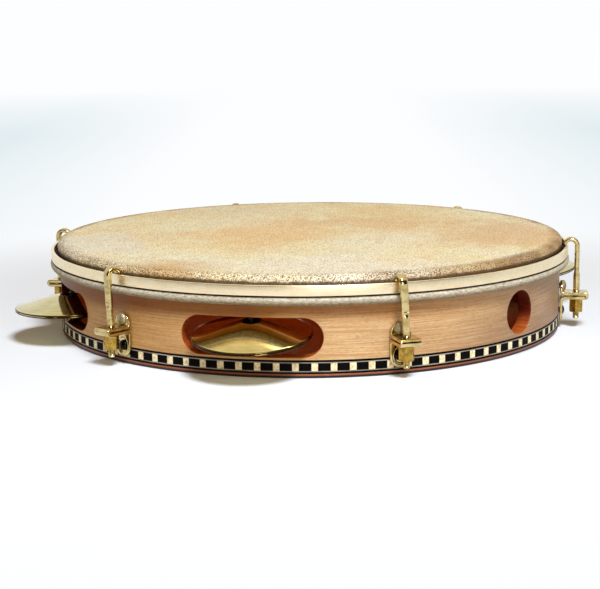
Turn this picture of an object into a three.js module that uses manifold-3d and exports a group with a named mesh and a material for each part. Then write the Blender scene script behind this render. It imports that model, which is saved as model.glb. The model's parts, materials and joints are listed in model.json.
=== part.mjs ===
// A pandeiro: a shallow hand drum with one skin, six tension hooks and five sets of jingles in its wooden ring.
// Millimetres, +Z up. The origin is the centre of the ring's bottom plane, and hook 1 lies on +X.
// Each bay between two hooks holds a jingle slot, apart from the last, which holds the thumb hole.

import * as THREE from "three";
import { mergeVertices } from "three/addons/utils/BufferGeometryUtils.js";
import Module from "manifold-3d";

// Shared clearances and counts
const clear = 0.3; // between pieces that touch on the real drum
const overrun = 2; // how far a cutter runs past the faces that it cuts
const mergeDistance = 0.0001; // vertices closer than this are one vertex
const bayCount = 6;
const ringSides = 60;

// Wooden ring
const ringRadius = 127;
const ringWall = 7;
const ringHeight = 45;
const bearingRound = 1.8; // outer top edge, which the skin bends over
const footRound = 1.2; // bottom edges

// Inlay strip, let into the ring just above its foot
const bandHeight = 6.8;
const bandThickness = 0.8;
const bandLedge = 0.1; // between the foot's rounding and the strip's groove

// Jingle slots and thumb hole
const slotLength = 63.6;
const slotHeight = 17.3;
const slotMiddleZ = 18.05;
const thumbHoleRadius = 10;
const thumbHoleZ = 19.6;
const bayDrifts = [0, 0, 0, 0.7, -1.4, 0.3].map(radians); // how far each opening was cut off its even place

// Jingle pins, in the middle of the ring's wall
const pinRadius = 1.2;
const pinFoot = 5.5; // how deep the pin stands in the wood below its slot
const pinHead = 14; // how far it reaches into the wood above its slot

// Jingles: two cupped discs and a flat damper between them
const jingleRadius = 26.5;
const jingleRise = 6.4;
const jingleSheet = 0.5;
const jingleHoleRadius = 4;
const jingleCurve = 1.25; // exponent of the cup's profile: 1 is a cone, 2 a bowl
const jingleStationShares = [0, 0.28, 0.62, 1]; // rings of the cup, from its hole to its rim
const jingleSides = 24;
const damperRadius = 25;
const damperSheet = 0.5;
const damperSides = 16;
const rockAngle = radians(8); // a set rocks this far each way from level on its pin

// How a set hangs at rest: its outer rim tilts down, it is shifted from the pin, and it may stand off the slot's floor
const levelRest = { tilt: radians(1.2), outward: 1.4, along: 0, liftShare: 0 };
const leaningRest = { tilt: radians(7.2), outward: 1.5, along: 0.6, liftShare: 0.8 };
const cockedRest = { tilt: radians(-6), outward: 1.4, along: 0, liftShare: 0.6 };
const jingleRests = [cockedRest, levelRest, levelRest, levelRest, leaningRest];

// Skin and hoops
const skinThickness = 0.5;
const fleshHoopWidth = 2.9;
const fleshHoopHeight = 2.4;
const fleshHoopRound = 1.1; // its two outer edges
const fleshHoopGap = 0.8; // between the ring and the flesh hoop
const skinLapDrop = 12.3; // from the ring's top down to the lapped skin's lowest point
const counterHoopHeight = 4.8;
const counterHoopThickness = 1.5;

// Tension hooks and nuts
const rodStandoff = 2.8; // between the counter hoop and each rod
const hookDrifts = [0, 0, 0, 0, -0.5, -1.2].map(radians); // how far each bracket was fixed off its even place
const rodRadius = 1.6;
const rodTail = 3.6; // thread below the nut
const nutAcrossFlats = 6.35;
const nutHeight = 6.4;
const nutSides = 6;
const hookBend = 3.1; // bend over the counter hoop, on the rod's middle line
const hookWrap = radians(165); // from the rod round to the tip
const hookFlatDrop = 18.5; // from the ring's top down to the start of the flattened part
const hookFlatRun = 2.5; // length over which the round rod becomes flat
const hookFlatWidth = 3.7;
const hookFlatThickness = 2.5;
const tipWidth = 4.2;
const tipThickness = 2;
const hookLeans = [0, 0, 0, 0, -1.1, -1.3]; // how far each bend stands to the side of its rod's foot
const hookSides = 8;
const hookBendSteps = 8;

// Brackets, each folded from one strip
const bracketWidth = 9.6;
const stripThickness = 1.5;
const shelfZ = 16.7; // middle of the double shelf
const shelfSlit = 0.6; // between the shelf's two layers
const shelfReach = 6.1; // from the rod's axis to the shelf's outer end
const stripBend = 1.5; // bends between the shelf and the tabs, on the strip's middle line
const upperTabReach = 7.1; // from the middle of the shelf to the tab's end
const lowerTabReach = 13.2;

// Rivets
const shankRadius = 1.4;
const rivetHeadRadius = 2.4;
const rivetHeadHeight = 1.9;
const rivetDomeShares = [[1, 0], [0.82, 0.55], [0.42, 0.92], [0, 1]]; // of the head's radius and height
const rivetPeenRadius = 2.3;
const rivetPeenHeight = 0.9;
const upperRivetInset = 2.6; // from the end of its tab
const lowerRivetInset = 5.4;
const rivetSides = 8;
const boreSides = 10;

// Places worked out from the sizes above
const innerRadius = ringRadius - ringWall;
const sideFlat = Math.cos(Math.PI / ringSides); // a side's distance from the axis, as a part of the radius
const pinCircle = ringRadius - ringWall / 2;
const slotFloor = slotMiddleZ - slotHeight / 2;
const slotRoof = slotMiddleZ + slotHeight / 2;
const bandFloor = footRound + bandLedge + clear;
const bandTop = bandFloor + bandHeight;
const lap = clear + skinThickness; // from a hoop or edge to the skin's far side
const fleshInner = ringRadius + fleshHoopGap;
const fleshOuter = fleshInner + fleshHoopWidth;
const fleshFloor = ringHeight - skinLapDrop + lap;
const fleshTop = fleshFloor + fleshHoopHeight;
const hoopFloor = fleshTop + lap + clear;
const hoopTop = hoopFloor + counterHoopHeight;
const hoopOuter = fleshOuter + clear;
const hoopInner = hoopOuter - counterHoopThickness;
const hookCircle = hoopOuter + rodStandoff + rodRadius;
const hookFlatZ = ringHeight - hookFlatDrop;
const shelfHalf = stripThickness + shelfSlit / 2;
const nutTop = shelfZ - shelfHalf - clear;
const rodFloor = nutTop - nutHeight - rodTail;
const tabMiddle = ringRadius + clear + stripThickness / 2;
const bracketTop = shelfZ + upperTabReach;
const bracketFloor = shelfZ - lowerTabReach;
const upperRivetZ = bracketTop - upperRivetInset;
const lowerRivetZ = bracketFloor + lowerRivetInset;
const tipInside = hookBend - tipThickness / 2;
const hookBendX = hookCircle - hookBend;
const hookBendZ = hoopTop + clear - tipInside * Math.sin(Math.PI - hookWrap);
const stackHalf = clear / 2 + jingleSheet + cupHeight(jingleHoleRadius);
const rockDrop = stackHalf * Math.cos(rockAngle) + jingleHoleRadius * Math.sin(rockAngle);
const stackZ = slotFloor + rockDrop + clear;
const slotPlay = slotHeight - 2 * (rockDrop + clear);

// Materials
const beech = material(0xdcb08c, 0.5, 0);
const inlayVeneer = material(0x2a241c, 0.45, 0);
const goatSkin = material(0xe2c596, 0.7, 0);
const hoopWire = material(0x8a8378, 0.4, 1);
const platedBrass = material(0xd9c07c, 0.22, 1);
const rivetMetal = material(0xc9c1a6, 0.25, 1);
const pinSteel = material(0x77726a, 0.35, 1);
const jingleBrass = material(0xcfae52, 0.25, 1);
const damperMetal = material(0xa9966a, 0.4, 1);

const wasm = await Module();
wasm.setup();

function radians(degrees) {
  return (degrees * Math.PI) / 180;
}

function material(color, roughness, metalness) {
  return new THREE.MeshStandardMaterial({ color, roughness, metalness });
}

// Height of the cup's inner face above its rim, at a distance from its axis.
function cupHeight(radius) {
  return jingleRise * (1 - (radius / jingleRadius) ** jingleCurve);
}

// Six times the signed volume inside an indexed mesh: positive when its faces point outwards.
function signedVolume(positions, triangles) {
  const corners = [new THREE.Vector3(), new THREE.Vector3(), new THREE.Vector3()];
  let sum = 0;
  for (let i = 0; i < triangles.length; i += 3) {
    corners.forEach((corner, k) => corner.fromArray(positions, triangles[i + k] * 3));
    sum += corners[0].dot(corners[1].cross(corners[2]));
  }
  return sum;
}

// A closed geometry as a solid, with its faces turned outwards.
function solid(geometry) {
  const bare = geometry.clone();
  bare.deleteAttribute("normal");
  bare.deleteAttribute("uv");
  const merged = mergeVertices(bare, mergeDistance);
  const vertProperties = Float32Array.from(merged.attributes.position.array);
  const corners = Array.from(merged.index.array);
  const faces = [];
  for (let i = 0; i < corners.length; i += 3) {
    const [a, b, c] = corners.slice(i, i + 3);
    if (a !== b && b !== c && c !== a) faces.push(a, b, c);
  }
  if (signedVolume(vertProperties, faces) < 0) faces.reverse();
  const triVerts = Uint32Array.from(faces);
  return new wasm.Manifold(new wasm.Mesh({ numProp: 3, vertProperties, triVerts }));
}

function cut(body, cutters) {
  return cutters.reduce((left, cutter) => left.subtract(cutter), body);
}

function named(name, body, finish) {
  const { vertProperties, triVerts } = body.getMesh();
  const geometry = new THREE.BufferGeometry();
  geometry.setAttribute("position", new THREE.BufferAttribute(vertProperties, 3));
  geometry.setIndex(new THREE.BufferAttribute(triVerts, 1));
  geometry.computeVertexNormals();
  const mesh = new THREE.Mesh(geometry, finish);
  mesh.name = name;
  return mesh;
}

function points(pairs) {
  return pairs.map(([x, y]) => new THREE.Vector2(x, y));
}

// Points of an arc, both ends included; angles in degrees from the outward direction.
function arc(x, z, radius, from, to, steps) {
  const turn = (to - from) / steps;
  return Array.from({ length: steps + 1 }, (_, i) => {
    const angle = radians(from + turn * i);
    return [x + radius * Math.cos(angle), z + radius * Math.sin(angle)];
  });
}

// Turns a profile of (radius, height) pairs round the Z axis.
function turned(pairs, sides, startAngle) {
  return new THREE.LatheGeometry(points(pairs), sides, startAngle).rotateX(Math.PI / 2);
}

// A ring centred on the drum. The middles of its sides line up with the hooks and the bays.
function drumRing(pairs) {
  return solid(turned([...pairs, pairs[0]], ringSides, Math.PI / ringSides));
}

// A cylinder along X from one radius to another, with its axis at a height.
function radialCylinder(radius, from, to, z, sides) {
  const cylinder = new THREE.CylinderGeometry(radius, radius, to - from, sides);
  return cylinder.rotateZ(-Math.PI / 2).translate((from + to) / 2, 0, z);
}

// A cylinder along Z from one height to another, at a distance from the drum's axis.
function uprightCylinder(radius, floor, top, distance, sides) {
  const cylinder = new THREE.CylinderGeometry(radius, radius, top - floor, sides);
  return cylinder.rotateX(Math.PI / 2).translate(distance, 0, (floor + top) / 2);
}

// A radius for a hole with flat sides, so that a round piece of the given radius keeps its clearance.
function boreRadius(pieceRadius, sides) {
  return (pieceRadius + clear) / Math.cos(Math.PI / sides);
}

// An outline with round ends between two heights or two places, centred on the other axis.
function roundEnded(lengthFrom, lengthTo, width) {
  const end = width / 2;
  const shape = new THREE.Shape();
  shape.absarc(lengthTo - end, 0, end, -Math.PI / 2, Math.PI / 2, false);
  shape.absarc(lengthFrom + end, 0, end, Math.PI / 2, Math.PI * 1.5, false);
  return shape;
}

function extruded(shape, depth, curveSegments) {
  return new THREE.ExtrudeGeometry(shape, { depth, curveSegments, bevelEnabled: false });
}

// A jingle slot: its outline lies along the ring's side, and it runs through the wall.
function slotCutter(angle) {
  const outline = roundEnded(-slotLength / 2, slotLength / 2, slotHeight);
  const toWall = new THREE.Matrix4().makeBasis(
    new THREE.Vector3(0, 1, 0), new THREE.Vector3(0, 0, 1), new THREE.Vector3(1, 0, 0));
  const reach = ringWall + 2 * overrun + ringRadius * (1 - Math.cos(Math.asin(slotLength / 2 / ringRadius)));
  const geometry = extruded(outline, reach, 4).applyMatrix4(toWall);
  return solid(geometry.translate(ringRadius + overrun - reach, 0, slotMiddleZ).rotateZ(angle));
}

function thumbHoleCutter(angle) {
  const geometry = radialCylinder(thumbHoleRadius, innerRadius - overrun, ringRadius + overrun, thumbHoleZ, 20);
  return solid(geometry.rotateZ(angle));
}

function rivetBore(angle, z) {
  const radius = boreRadius(shankRadius, boreSides);
  return solid(radialCylinder(radius, innerRadius - overrun, tabMiddle + overrun, z, boreSides).rotateZ(angle));
}

// The pins are driven in from the ring's top edge.
function pinBore(angle) {
  const radius = boreRadius(pinRadius, boreSides);
  const floor = slotFloor - pinFoot - clear;
  return solid(uprightCylinder(radius, floor, ringHeight + overrun, pinCircle, boreSides).rotateZ(angle));
}

function hookAngle(index) {
  return (index * 2 * Math.PI) / bayCount + hookDrifts[index];
}

function bayAngle(index) {
  return ((index + 0.5) * 2 * Math.PI) / bayCount + bayDrifts[index];
}

function allRivetBores() {
  return hookDrifts.flatMap((_, i) => [
    rivetBore(hookAngle(i), upperRivetZ),
    rivetBore(hookAngle(i), lowerRivetZ),
  ]);
}

function buildShell() {
  const grooveFloor = ringRadius - bandThickness - clear;
  const ring = drumRing([
    [innerRadius, footRound],
    [innerRadius + footRound, 0],
    ...arc(ringRadius - footRound, footRound, footRound, -90, 0, 2),
    [ringRadius, bandFloor - clear],
    [grooveFloor, bandFloor - clear],
    [grooveFloor, bandTop + clear],
    [ringRadius, bandTop + clear],
    ...arc(ringRadius - bearingRound, ringHeight - bearingRound, bearingRound, 0, 90, 2),
    [innerRadius, ringHeight],
  ]);
  const cutters = allRivetBores();
  jingleRests.forEach((_, i) => cutters.push(slotCutter(bayAngle(i)), pinBore(bayAngle(i))));
  cutters.push(thumbHoleCutter(bayAngle(jingleRests.length)));
  return named("shell", cut(ring, cutters), beech);
}

// The lower rivets pass through the strip's top edge.
function buildInlayBand() {
  const strip = drumRing([
    [ringRadius - bandThickness, bandFloor],
    [ringRadius, bandFloor],
    [ringRadius, bandTop],
    [ringRadius - bandThickness, bandTop],
  ]);
  return named("inlay_band", cut(strip, allRivetBores()), inlayVeneer);
}

function buildFleshHoop() {
  const ring = drumRing([
    [fleshInner, fleshFloor],
    ...arc(fleshOuter - fleshHoopRound, fleshFloor + fleshHoopRound, fleshHoopRound, -90, 0, 1),
    ...arc(fleshOuter - fleshHoopRound, fleshTop - fleshHoopRound, fleshHoopRound, 0, 90, 1),
    [fleshInner, fleshTop],
  ]);
  return named("flesh_hoop", ring, hoopWire);
}

// One face of the lapped skin, at a distance from the edge and the hoop that it follows, from its end to its middle.
function skinFace(distance) {
  const cornerX = fleshOuter - fleshHoopRound;
  const edgeX = ringRadius - bearingRound;
  return [
    [fleshInner, fleshFloor - distance],
    ...arc(cornerX, fleshFloor + fleshHoopRound, fleshHoopRound + distance, -90, 0, 2),
    ...arc(cornerX, fleshTop - fleshHoopRound, fleshHoopRound + distance, 0, 90, 2),
    [ringRadius + distance, fleshTop + distance],
    ...arc(edgeX, ringHeight - bearingRound, bearingRound + distance, 0, 90, 2),
    [0, ringHeight + distance],
  ];
}

function buildSkin() {
  const profile = [...skinFace(clear).reverse(), ...skinFace(lap)];
  return named("skin", solid(turned(profile, ringSides, Math.PI / ringSides)), goatSkin);
}

function buildCounterHoop() {
  const ring = drumRing([
    [hoopInner, hoopFloor],
    [hoopOuter, hoopFloor],
    [hoopOuter, hoopTop],
    [hoopInner, hoopTop],
  ]);
  return named("counter_hoop", ring, platedBrass);
}

// The side view of a bracket: one strip of even thickness, from the top of the upper tab to the lower tab's end.
function foldedStrip() {
  const half = stripThickness / 2;
  const bendX = tabMiddle + stripBend;
  const upperZ = shelfZ + half + shelfSlit / 2;
  const lowerZ = shelfZ - half - shelfSlit / 2;
  const foldX = hookCircle + shelfReach - shelfHalf;
  const shape = new THREE.Shape();
  shape.moveTo(tabMiddle - half, bracketTop);
  shape.absarc(bendX, upperZ + stripBend, stripBend + half, Math.PI, Math.PI * 1.5, false);
  shape.absarc(foldX, shelfZ, shelfSlit / 2, Math.PI / 2, -Math.PI / 2, true);
  shape.absarc(bendX, lowerZ - stripBend, stripBend + half, Math.PI / 2, Math.PI, false);
  shape.lineTo(tabMiddle - half, bracketFloor);
  shape.lineTo(tabMiddle + half, bracketFloor);
  shape.absarc(bendX, lowerZ - stripBend, stripBend - half, Math.PI, Math.PI / 2, true);
  shape.absarc(foldX, shelfZ, shelfHalf, -Math.PI / 2, Math.PI / 2, false);
  shape.absarc(bendX, upperZ + stripBend, stripBend - half, Math.PI * 1.5, Math.PI, true);
  shape.lineTo(tabMiddle + half, bracketTop);
  return shape;
}

function bracketSolid() {
  const strip = extruded(foldedStrip(), bracketWidth, 2).rotateX(Math.PI / 2).translate(0, bracketWidth / 2, 0);
  const reach = shelfReach + hookCircle - innerRadius + overrun;
  const toFront = new THREE.Matrix4().makeBasis(
    new THREE.Vector3(0, 0, 1), new THREE.Vector3(0, -1, 0), new THREE.Vector3(1, 0, 0));
  const front = extruded(roundEnded(bracketFloor, bracketTop, bracketWidth), reach, 4);
  const outline = solid(front.applyMatrix4(toFront).translate(innerRadius, 0, 0));
  const rodBore = uprightCylinder(
    boreRadius(rodRadius, boreSides), shelfZ - shelfHalf - overrun, shelfZ + shelfHalf + overrun,
    hookCircle, boreSides);
  return cut(solid(strip).intersect(outline), [
    solid(rodBore),
    rivetBore(0, upperRivetZ),
    rivetBore(0, lowerRivetZ),
  ]);
}

// A rivet along X: peened head inside the ring, shank through ring and tab, domed head outside.
function rivetSolid(z) {
  const inside = innerRadius * sideFlat - clear;
  const outside = tabMiddle + stripThickness / 2 + clear;
  const profile = [
    [0, inside - rivetPeenHeight],
    [rivetPeenRadius, inside - rivetPeenHeight],
    [rivetPeenRadius, inside],
    [shankRadius, inside],
    [shankRadius, outside],
    ...rivetDomeShares.map(([across, up]) => [rivetHeadRadius * across, outside + rivetHeadHeight * up]),
  ];
  return solid(turned(profile, rivetSides, 0).rotateY(Math.PI / 2).translate(0, 0, z));
}

// Rings of corners joined into a closed body: each ring has the same number of corners.
function lofted(rings) {
  const sides = rings[0].length;
  const last = (rings.length - 1) * sides;
  const positions = rings.flat(2);
  const triangles = [];
  for (let ring = 0; ring < rings.length - 1; ring += 1) {
    for (let i = 0; i < sides; i += 1) {
      const a = ring * sides + i;
      const b = ring * sides + ((i + 1) % sides);
      triangles.push(a, b, a + sides, b, b + sides, a + sides);
    }
  }
  for (let i = 1; i < sides - 1; i += 1) {
    triangles.push(0, i + 1, i, last, last + i, last + i + 1);
  }
  const geometry = new THREE.BufferGeometry();
  geometry.setAttribute("position", new THREE.Float32BufferAttribute(positions, 3));
  geometry.setIndex(triangles);
  return geometry;
}

// A section of the hook: a flattened round, square to the rod where the rod points the given way.
function hookSection(x, y, z, turn, width, thickness) {
  return Array.from({ length: hookSides }, (_, i) => {
    const angle = ((i + 0.5) * 2 * Math.PI) / hookSides;
    const out = (Math.sin(angle) * thickness) / 2;
    const side = (Math.cos(angle) * width) / 2;
    return [x + out * Math.cos(turn), y + side, z + out * Math.sin(turn)];
  });
}

// The rod stands straight in its bracket, and leans to the side from there up.
function hookSolid(lean) {
  const rod = 2 * rodRadius;
  const straightTop = shelfZ + shelfHalf;
  const leanAt = (z) => lean * THREE.MathUtils.clamp((z - straightTop) / (hookBendZ - straightTop), 0, 1);
  const section = (x, z, ...rest) => hookSection(x, leanAt(z), z, ...rest);
  const rings = [
    section(hookCircle, rodFloor, 0, rod, rod),
    section(hookCircle, straightTop, 0, rod, rod),
    section(hookCircle, hookFlatZ, 0, rod, rod),
    section(hookCircle, hookFlatZ + hookFlatRun, 0, hookFlatWidth, hookFlatThickness),
  ];
  for (let i = 0; i <= hookBendSteps; i += 1) {
    const along = i / hookBendSteps;
    const turn = hookWrap * along;
    rings.push(section(
      hookBendX + hookBend * Math.cos(turn), hookBendZ + hookBend * Math.sin(turn), turn,
      THREE.MathUtils.lerp(hookFlatWidth, tipWidth, along),
      THREE.MathUtils.lerp(hookFlatThickness, tipThickness, along)));
  }
  return solid(lofted(rings));
}

// A hexagon nut with two of its flats facing towards and away from the ring.
function nutSolid() {
  const corner = nutAcrossFlats / 2 / Math.cos(Math.PI / nutSides);
  const shape = new THREE.Shape(points(Array.from({ length: nutSides }, (_, i) => {
    const angle = ((i + 0.5) * 2 * Math.PI) / nutSides;
    return [corner * Math.cos(angle), corner * Math.sin(angle)];
  })));
  const bore = solid(uprightCylinder(
    boreRadius(rodRadius, boreSides), -overrun, nutHeight + overrun, 0, boreSides));
  return solid(extruded(shape, nutHeight, 1)).subtract(bore);
}

function buildTensioner(index, shapes) {
  const number = index + 1;
  const group = new THREE.Group();
  group.rotation.z = hookAngle(index);
  const nut = named(`nut_${number}`, shapes.nut, platedBrass);
  nut.position.set(hookCircle, 0, nutTop - nutHeight);
  group.add(
    named(`bracket_${number}`, shapes.bracket, platedBrass),
    named(`rivet_upper_${number}`, shapes.upperRivet, rivetMetal),
    named(`rivet_lower_${number}`, shapes.lowerRivet, rivetMetal),
    named(`hook_${number}`, hookSolid(hookLeans[index]), platedBrass),
    nut);
  return group;
}

// A cupped disc with its hollow side towards the middle of its set: side is 1 above the middle and -1 below.
function cupSolid(side) {
  const radii = jingleStationShares.map((share) => THREE.MathUtils.lerp(jingleHoleRadius, jingleRadius, share));
  const inner = radii.map((radius) => [radius, side * (clear / 2 + cupHeight(radius))]);
  const outer = inner.map(([radius, z]) => [radius, z + side * jingleSheet]);
  const profile = [...inner, ...outer.reverse(), inner[0]];
  return solid(turned(profile, jingleSides, 0));
}

// The damper lies in the lower cup.
function damperSolid() {
  const floor = clear / 2 - cupHeight(damperRadius);
  const top = floor + damperSheet;
  const profile = [
    [jingleHoleRadius, floor],
    [damperRadius, floor],
    [damperRadius, top],
    [jingleHoleRadius, top],
    [jingleHoleRadius, floor],
  ];
  return solid(turned(profile, damperSides, 0));
}

function pinSolid() {
  return solid(uprightCylinder(pinRadius, slotFloor - pinFoot, slotRoof + pinHead, pinCircle, rivetSides));
}

function buildJingleSet(index, shapes) {
  const number = index + 1;
  const rest = jingleRests[index];
  const stack = new THREE.Group();
  stack.position.set(pinCircle + rest.outward, rest.along, stackZ + slotPlay * rest.liftShare);
  stack.rotation.y = rest.tilt;
  stack.add(
    named(`jingle_lower_${number}`, shapes.lowerCup, jingleBrass),
    named(`damper_${number}`, shapes.damper, damperMetal),
    named(`jingle_upper_${number}`, shapes.upperCup, jingleBrass));
  const group = new THREE.Group();
  group.rotation.z = bayAngle(index);
  group.add(named(`pin_${number}`, shapes.pin, pinSteel), stack);
  return group;
}

function buildPandeiro() {
  const pandeiro = new THREE.Group();
  pandeiro.add(buildShell(), buildInlayBand(), buildFleshHoop(), buildSkin(), buildCounterHoop());
  const tensioner = {
    bracket: bracketSolid(),
    upperRivet: rivetSolid(upperRivetZ),
    lowerRivet: rivetSolid(lowerRivetZ),
    nut: nutSolid(),
  };
  for (let i = 0; i < bayCount; i += 1) pandeiro.add(buildTensioner(i, tensioner));
  const jingleSet = {
    lowerCup: cupSolid(-1),
    damper: damperSolid(),
    upperCup: cupSolid(1),
    pin: pinSolid(),
  };
  jingleRests.forEach((_, i) => pandeiro.add(buildJingleSet(i, jingleSet)));
  return pandeiro;
}

export default buildPandeiro();
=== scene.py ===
import json
import math
from functools import partial

import bmesh
import bpy
from mathutils import Matrix, Vector


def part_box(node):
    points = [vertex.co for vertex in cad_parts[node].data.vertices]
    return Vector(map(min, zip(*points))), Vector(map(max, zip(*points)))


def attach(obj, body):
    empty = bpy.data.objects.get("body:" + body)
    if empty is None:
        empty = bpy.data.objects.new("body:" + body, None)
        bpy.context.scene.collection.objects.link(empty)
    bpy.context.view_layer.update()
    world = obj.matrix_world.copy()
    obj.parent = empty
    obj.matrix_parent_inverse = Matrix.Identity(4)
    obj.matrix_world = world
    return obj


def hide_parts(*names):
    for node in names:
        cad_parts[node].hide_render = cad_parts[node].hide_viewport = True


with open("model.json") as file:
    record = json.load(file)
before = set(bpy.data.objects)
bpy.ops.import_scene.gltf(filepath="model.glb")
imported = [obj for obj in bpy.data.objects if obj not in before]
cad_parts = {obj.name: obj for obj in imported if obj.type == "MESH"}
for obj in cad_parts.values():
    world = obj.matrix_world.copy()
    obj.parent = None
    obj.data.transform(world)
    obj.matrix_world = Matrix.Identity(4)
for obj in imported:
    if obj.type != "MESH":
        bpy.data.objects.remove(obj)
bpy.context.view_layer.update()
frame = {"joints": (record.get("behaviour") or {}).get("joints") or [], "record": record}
print("frame loaded")

# A pandeiro: a shallow hand drum with a goat skin, six brass tension hooks and five sets of brass jingles.
# Sizes in the dictionaries are millimetres and degrees; everything is turned into metres by mm().

halfTurn = math.pi
fullTurn = 2 * math.pi
ringRadius = 127.0
weld = 0.0005  # points closer than this are merged


def mm(value):
    return value * 0.001


def numbered(stem, count):
    return [f"{stem}{i + 1}" for i in range(count)]


def between(start, end, share):
    return start + (end - start) * share


def angleOf(node):
    low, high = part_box(node)
    return math.atan2(low.y + high.y, low.x + high.x)


hookAngles = [angleOf(node) for node in numbered("hook_", 6)]
hookStep = fullTurn / 6


def newObject(name, data):
    thing = bpy.data.objects.new(name, data)
    bpy.context.scene.collection.objects.link(thing)
    return thing


def hexColour(text):
    channels = [int(text[i:i + 2], 16) / 255 for i in (1, 3, 5)]
    linear = [c / 12.92 if c <= 0.04045 else ((c + 0.055) / 1.055) ** 2.4 for c in channels]
    return (*linear, 1.0)


# Adds a node to a shader or geometry tree. An input takes a value, a colour as hex text, a socket, or a node,
# whose first live output is used.
def addNode(tree, kind, inputs=None, stops=(), **settings):
    node = tree.nodes.new(kind)
    for key, value in settings.items():
        setattr(node, key, value)
    for key, value in (inputs or {}).items():
        if isinstance(value, bpy.types.Node):
            value = next(socket for socket in value.outputs if socket.enabled)
        if isinstance(value, str) and value.startswith("#"):
            value = hexColour(value)
        if isinstance(value, bpy.types.NodeSocket):
            tree.links.new(value, node.inputs[key])
        else:
            node.inputs[key].default_value = value
    while stops and len(node.color_ramp.elements) < len(stops):
        node.color_ramp.elements.new(0.5)
    for i, (position, colour) in enumerate(stops):
        node.color_ramp.elements[i].position = position
        node.color_ramp.elements[i].color = hexColour(colour)
    return node


# A new material, and the function that adds nodes to it.
def newMaterial(name):
    material = bpy.data.materials.new(name)
    material.use_nodes = True
    material.node_tree.nodes.clear()
    return material, partial(addNode, material.node_tree)


# Place on the object in millimetres.
def drumPlace(add):
    place = add("ShaderNodeTexCoord").outputs["Object"]
    return add("ShaderNodeVectorMath", {0: place, 1: (1000.0,) * 3}, operation="MULTIPLY")


# Camera and room

photo = {
    "width": 600, "focal": 1465.2,  # pixels
    "distance": 761.2, "elevation": 11.65, "azimuth": 10.6,
    "aimRight": -0.0068, "aimUp": 0.0172, "roll": -0.53,
    "sensor": 36.0, "clipStart": 10.0, "clipEnd": 50000.0,
}


def makeCamera():
    rise = math.radians(photo["elevation"])
    turn = Matrix.Rotation(math.radians(photo["azimuth"]), 3, "Z")
    place = Vector((0, -math.cos(rise), math.sin(rise))) * mm(photo["distance"])
    ahead = Vector((0, math.cos(rise), -math.sin(rise)))
    across = Vector((1, 0, 0))
    over = across.cross(ahead)
    ahead = (ahead + across * photo["aimRight"] + over * photo["aimUp"]).normalized()
    across = ahead.cross(over).normalized()
    over = across.cross(ahead)
    roll = math.radians(photo["roll"])
    right = across * math.cos(roll) + over * math.sin(roll)
    up = over * math.cos(roll) - across * math.sin(roll)
    data = bpy.data.cameras.new("photoCamera")
    data.sensor_width = photo["sensor"]
    data.lens = photo["focal"] * photo["sensor"] / photo["width"]
    data.clip_start = mm(photo["clipStart"])
    data.clip_end = mm(photo["clipEnd"])
    camera = newObject("photoCamera", data)
    basis = turn @ Matrix((right, up, -ahead)).transposed()
    camera.matrix_world = Matrix.Translation(turn @ place) @ basis.to_4x4()
    bpy.context.scene.camera = camera


room = {
    "floorSize": 30000.0, "paper": "#f7f7f5", "ringFoot": 124.0,
    "white": "#fdfeff", "whiteFrom": 150.0, "whiteTo": 380.0, "nearShare": 0.04,
    "blue": "#e2edf1", "blueFrom": 140.0, "blueTo": 400.0, "farFrom": 1300.0, "farTo": 2600.0,
    "sky": "#ffe0a4", "skyStrength": 0.21,
    # what polished metal sees, as cosines of the direction
    "wall": "#f6f8f8", "wallFrom": -0.45, "wallTo": 0.1, "wallFoot": 0.6, "wallTop": 0.85,
    "ceiling": "#2a251e", "panel": "#fff2d2", "panelFrom": 0.62, "panelTo": 0.76,
}
softboxes = {
    "keySoftbox": {"size": 420.0, "distance": 1500.0, "power": 26.0, "azimuth": 15.0, "elevation": 52.0,
                   "tint": "#e6efff"},
    "frontSoftbox": {"size": 430.0, "distance": 800.0, "power": 1.1, "azimuth": 12.0, "elevation": 12.0,
                     "tint": "#ffffff"},
}


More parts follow.
